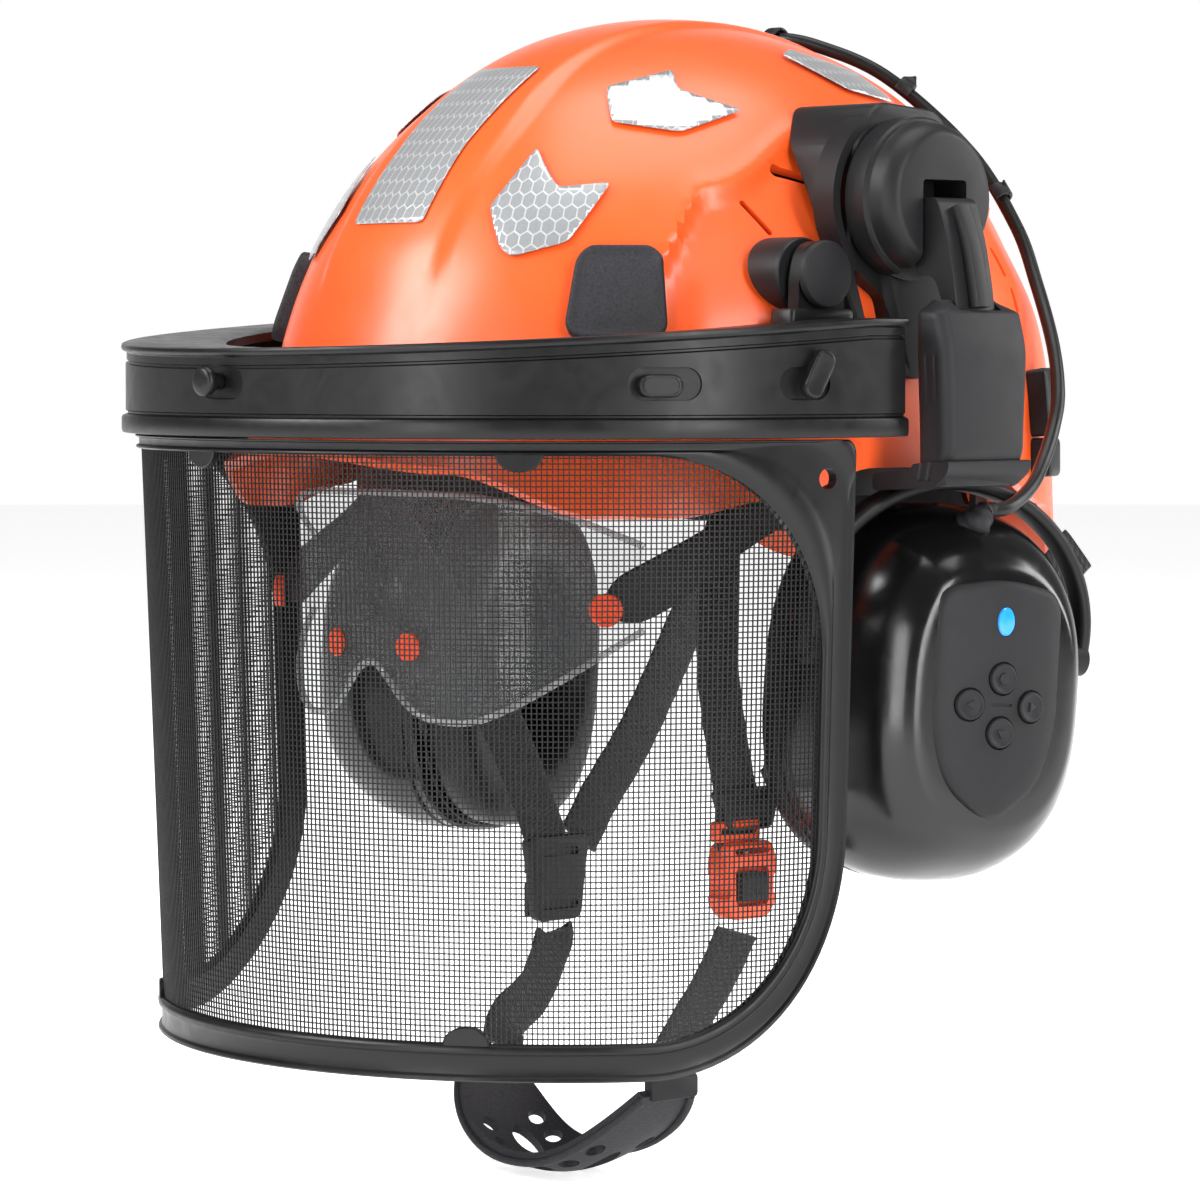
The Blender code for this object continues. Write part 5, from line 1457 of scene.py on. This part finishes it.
LEAD_ROUTE = ((121, 8, -12.3), (122, 17, -11), (118, 30, -6), (112.5, 41, 1), (108, 50, 10), (103.5, 57, 20),
              (94, 65, 34), (79, 74, 52), (67, 78, 69), (50, 76, 91), (30, 62, 113), (13, 50, 122.5),
              (0, 45, 125))
LEAD_RADIUS = 2.0


def make_lead():
    """The lead over the back of the shell: its ends run down to rubber boots attached to the muffs, and the
    rest lies on the shell.
    """
    route = [*LEAD_ROUTE, *(on_side(p, -1) for p in reversed(LEAD_ROUTE[:-1]))]
    points = smooth_route(route, 421)
    free = 75
    parts = {"left": points[:free + 1], "middle": points[free:-free], "right": points[-free - 1:]}
    middle = tube("link_lead", parts["middle"], LEAD_RADIUS, CABLE)
    ride(middle, "helmet", "rubber", "link_cable")
    held = [p * MM for p in parts["middle"]]
    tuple(held[0])
    sum((b - a).length for a, b in zip(held, held[1:]))
    for word, letter, side in SIDES:
        piece = tube(f"link_lead_{word}", parts[word], LEAD_RADIUS, CABLE)
        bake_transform(piece)
        boot_end = cup_point(side, 16, -1, 46)
        start = Vector(on_side(LEAD_ROUTE[0], side))
        boot_points = smooth_route([start + Vector((side * 0.4, 4, 0.6)), start, (start + boot_end) / 2
                                    + Vector((side * 1.5, -1, 0)), boot_end], 33)

        def boot_section(i):
            fat = 2.2 + 2.6 * smooth(4, 30, i) + 0.45 * (1 if (i // 3) % 2 else 0) * smooth(3, 8, i)
            return arc(fat, fat, 0, 342, 20)
        boot = sweep(f"lead_boot_{word}", boot_points, boot_section, SOFT_BLACK, face=(0.2, 0.4, 1), sharp=50)
        ride(boot, f"muff_{letter}", "rubber")
        for row, (z, height) in enumerate(((17.0, 9.5), (1.5, 5.5))):
            def place(u, v, h, side=side, z=z):
                return on_shell(side * (math.radians(121) + u / 110.0), z + v, h)
            clip = stack(f"lead_clip_{word}_{row}", rounded(5.0, height, 1.6, 5), place,
                         [(1, 0.2), (1, 4.6), (0.96, 5.6), (0.86, 6.0), (0.5, 6.1), (0.1, 6.1)], SATIN_BLACK)
            ride(clip, "helmet", "satin_plastic", *([f"rear_clip_{word}"] if row == 0 else []))
    for number, i in enumerate((130, 170, 210, 250, 290)):
        point = points[i]
        normal = dome_normal(point)
        tangent = (points[i + 1] - points[i - 1]).normalized()
        across = normal.cross(tangent).normalized()
        path = []
        for a in np.radians(np.linspace(-20, 200, 23)):
            path.append(point + across * 3.2 * math.cos(a) + normal * (3.2 * math.sin(a) - 0.2))
        holder = sweep(f"lead_holder_{number}", path, rounded(2.4, 0.55, 0.5, 4), SATIN_BLACK,
                       face=tuple(tangent.cross(Vector((0, 0, 1)))), sharp=60)
        ride(holder, "helmet", "satin_plastic")


# ---------------------------------------------------------------- floor, light and camera

VIEW_AZIMUTH = math.radians(48)  # round from the front to the wearer's left
VIEW_ELEVATION = math.radians(3)
VIEW_DISTANCE = 1.4  # metres
VIEW_LENS = 142.8  # millimetres, on a sensor 36 mm wide
VIEW_FROM = (
    math.sin(VIEW_AZIMUTH) * math.cos(VIEW_ELEVATION),
    -math.cos(VIEW_AZIMUTH) * math.cos(VIEW_ELEVATION),
    math.sin(VIEW_ELEVATION),
)
FLOOR_GLOW = 0.7  # light of the floor's own, so that it reads as white as the backdrop


def make_stage():
    floor_z = cad_box[0].z / MM - 0.3
    bm = bmesh.new()
    rings = []
    for radius in (60, 400, 1200, 6000):
        rings.append([bm.verts.new((radius * math.cos(a), radius * math.sin(a), floor_z))
                      for a in np.linspace(0, math.tau, 64, endpoint=False)])
    bridge(bm, rings)
    bm.faces.new(rings[0])
    white, tree, shader, place = start_material("floor", 0.6)
    cloud = add(tree, "ShaderNodeTexNoise", {"Vector": place, "Scale": 3.0, "Detail": 3.0})
    tint(tree, shader, cloud.outputs["Fac"], (0.93, 0.93, 0.93), (0.96, 0.96, 0.96))
    shader.inputs["Emission Color"].default_value = (1, 1, 1, 1)
    shader.inputs["Emission Strength"].default_value = FLOOR_GLOW
    floor = link_bmesh("studio_floor", bm, white)
    for polygon in floor.data.polygons:
        if polygon.normal.z < 0:
            polygon.flip()

    world = bpy.data.worlds.new("studio")
    world.use_nodes = True
    tree = world.node_tree
    direction = add(tree, "ShaderNodeTexCoord").outputs["Generated"]
    # bright only behind the object as the photo sees it, so that its black parts stay dark
    backdrop = tuple(-c for c in VIEW_FROM)
    facing = add(tree, "ShaderNodeVectorMath", {0: direction, 1: backdrop}, operation="DOT_PRODUCT")
    strength = add(tree, "ShaderNodeMapRange", {
        "Value": facing.outputs["Value"], "From Min": 0.80, "From Max": 0.95, "To Min": 0.15, "To Max": 1.0,
    })
    tree.links.new(strength.outputs["Result"], tree.nodes["Background"].inputs["Strength"])
    tree.nodes["Background"].inputs["Color"].default_value = (1, 1, 1, 1)
    bpy.context.scene.world = world

    target = Vector((0, -10, -30)) * MM
    for name, place, size, power in (
        ("key", (-700, -1700, 1100), (1.0, 1.0), 40), ("side", (1800, -300, 600), (0.5, 1.6), 26),
        ("top", (100, 100, 1900), (1.4, 1.4), 24), ("rim", (900, 1600, 700), (0.6, 1.4), 22),
        ("front", (500, -2000, 200), (0.5, 1.2), 14),
    ):
        light = bpy.data.lights.new(name, "AREA")
        light.shape = "RECTANGLE"
        light.size, light.size_y = size
        light.energy = power
        lamp = bpy.data.objects.new(name, light)
        lamp.location = Vector(place) * MM
        lamp.rotation_euler = (target - lamp.location).to_track_quat("-Z", "Y").to_euler()
        bpy.context.scene.collection.objects.link(lamp)


def make_look():
    """Plain photographic tones: white stays white and the orange keeps its full colour."""
    view = bpy.context.scene.view_settings
    view.view_transform = "Standard"
    view.look = "None"
    view.exposure = 0.0
    view.gamma = 1.0


def make_camera():
    aim = Vector((-12.8, -14.2, -41.0)) * MM
    camera = bpy.data.cameras.new("camera")
    camera.lens = VIEW_LENS
    camera.sensor_width = 36.0
    camera.clip_start = 0.05
    camera.clip_end = 50.0
    obj = bpy.data.objects.new("camera", camera)
    obj.location = aim + Vector(VIEW_FROM) * VIEW_DISTANCE
    obj.rotation_euler = (aim - obj.location).to_track_quat("-Z", "Y").to_euler()
    bpy.context.scene.collection.objects.link(obj)
    bpy.context.scene.camera = obj


make_camera()
make_look()
make_lead()
make_shell()
make_stickers()
make_side_pads()
make_liner()
make_headband()
make_bracket()
make_frame()
make_wire_mesh()
make_studs()
make_eye_shield()
make_carriers()
for side_word, side_letter, side_sign in SIDES:
    make_swivel(side_sign, side_word, side_letter)
    make_arm(side_sign, side_word, side_letter)
    make_yoke(side_sign, side_word, side_letter)
    make_cup(side_sign, side_word, side_letter)
make_controls()
make_straps()
make_buckle()
make_chin_cup()
make_stage()
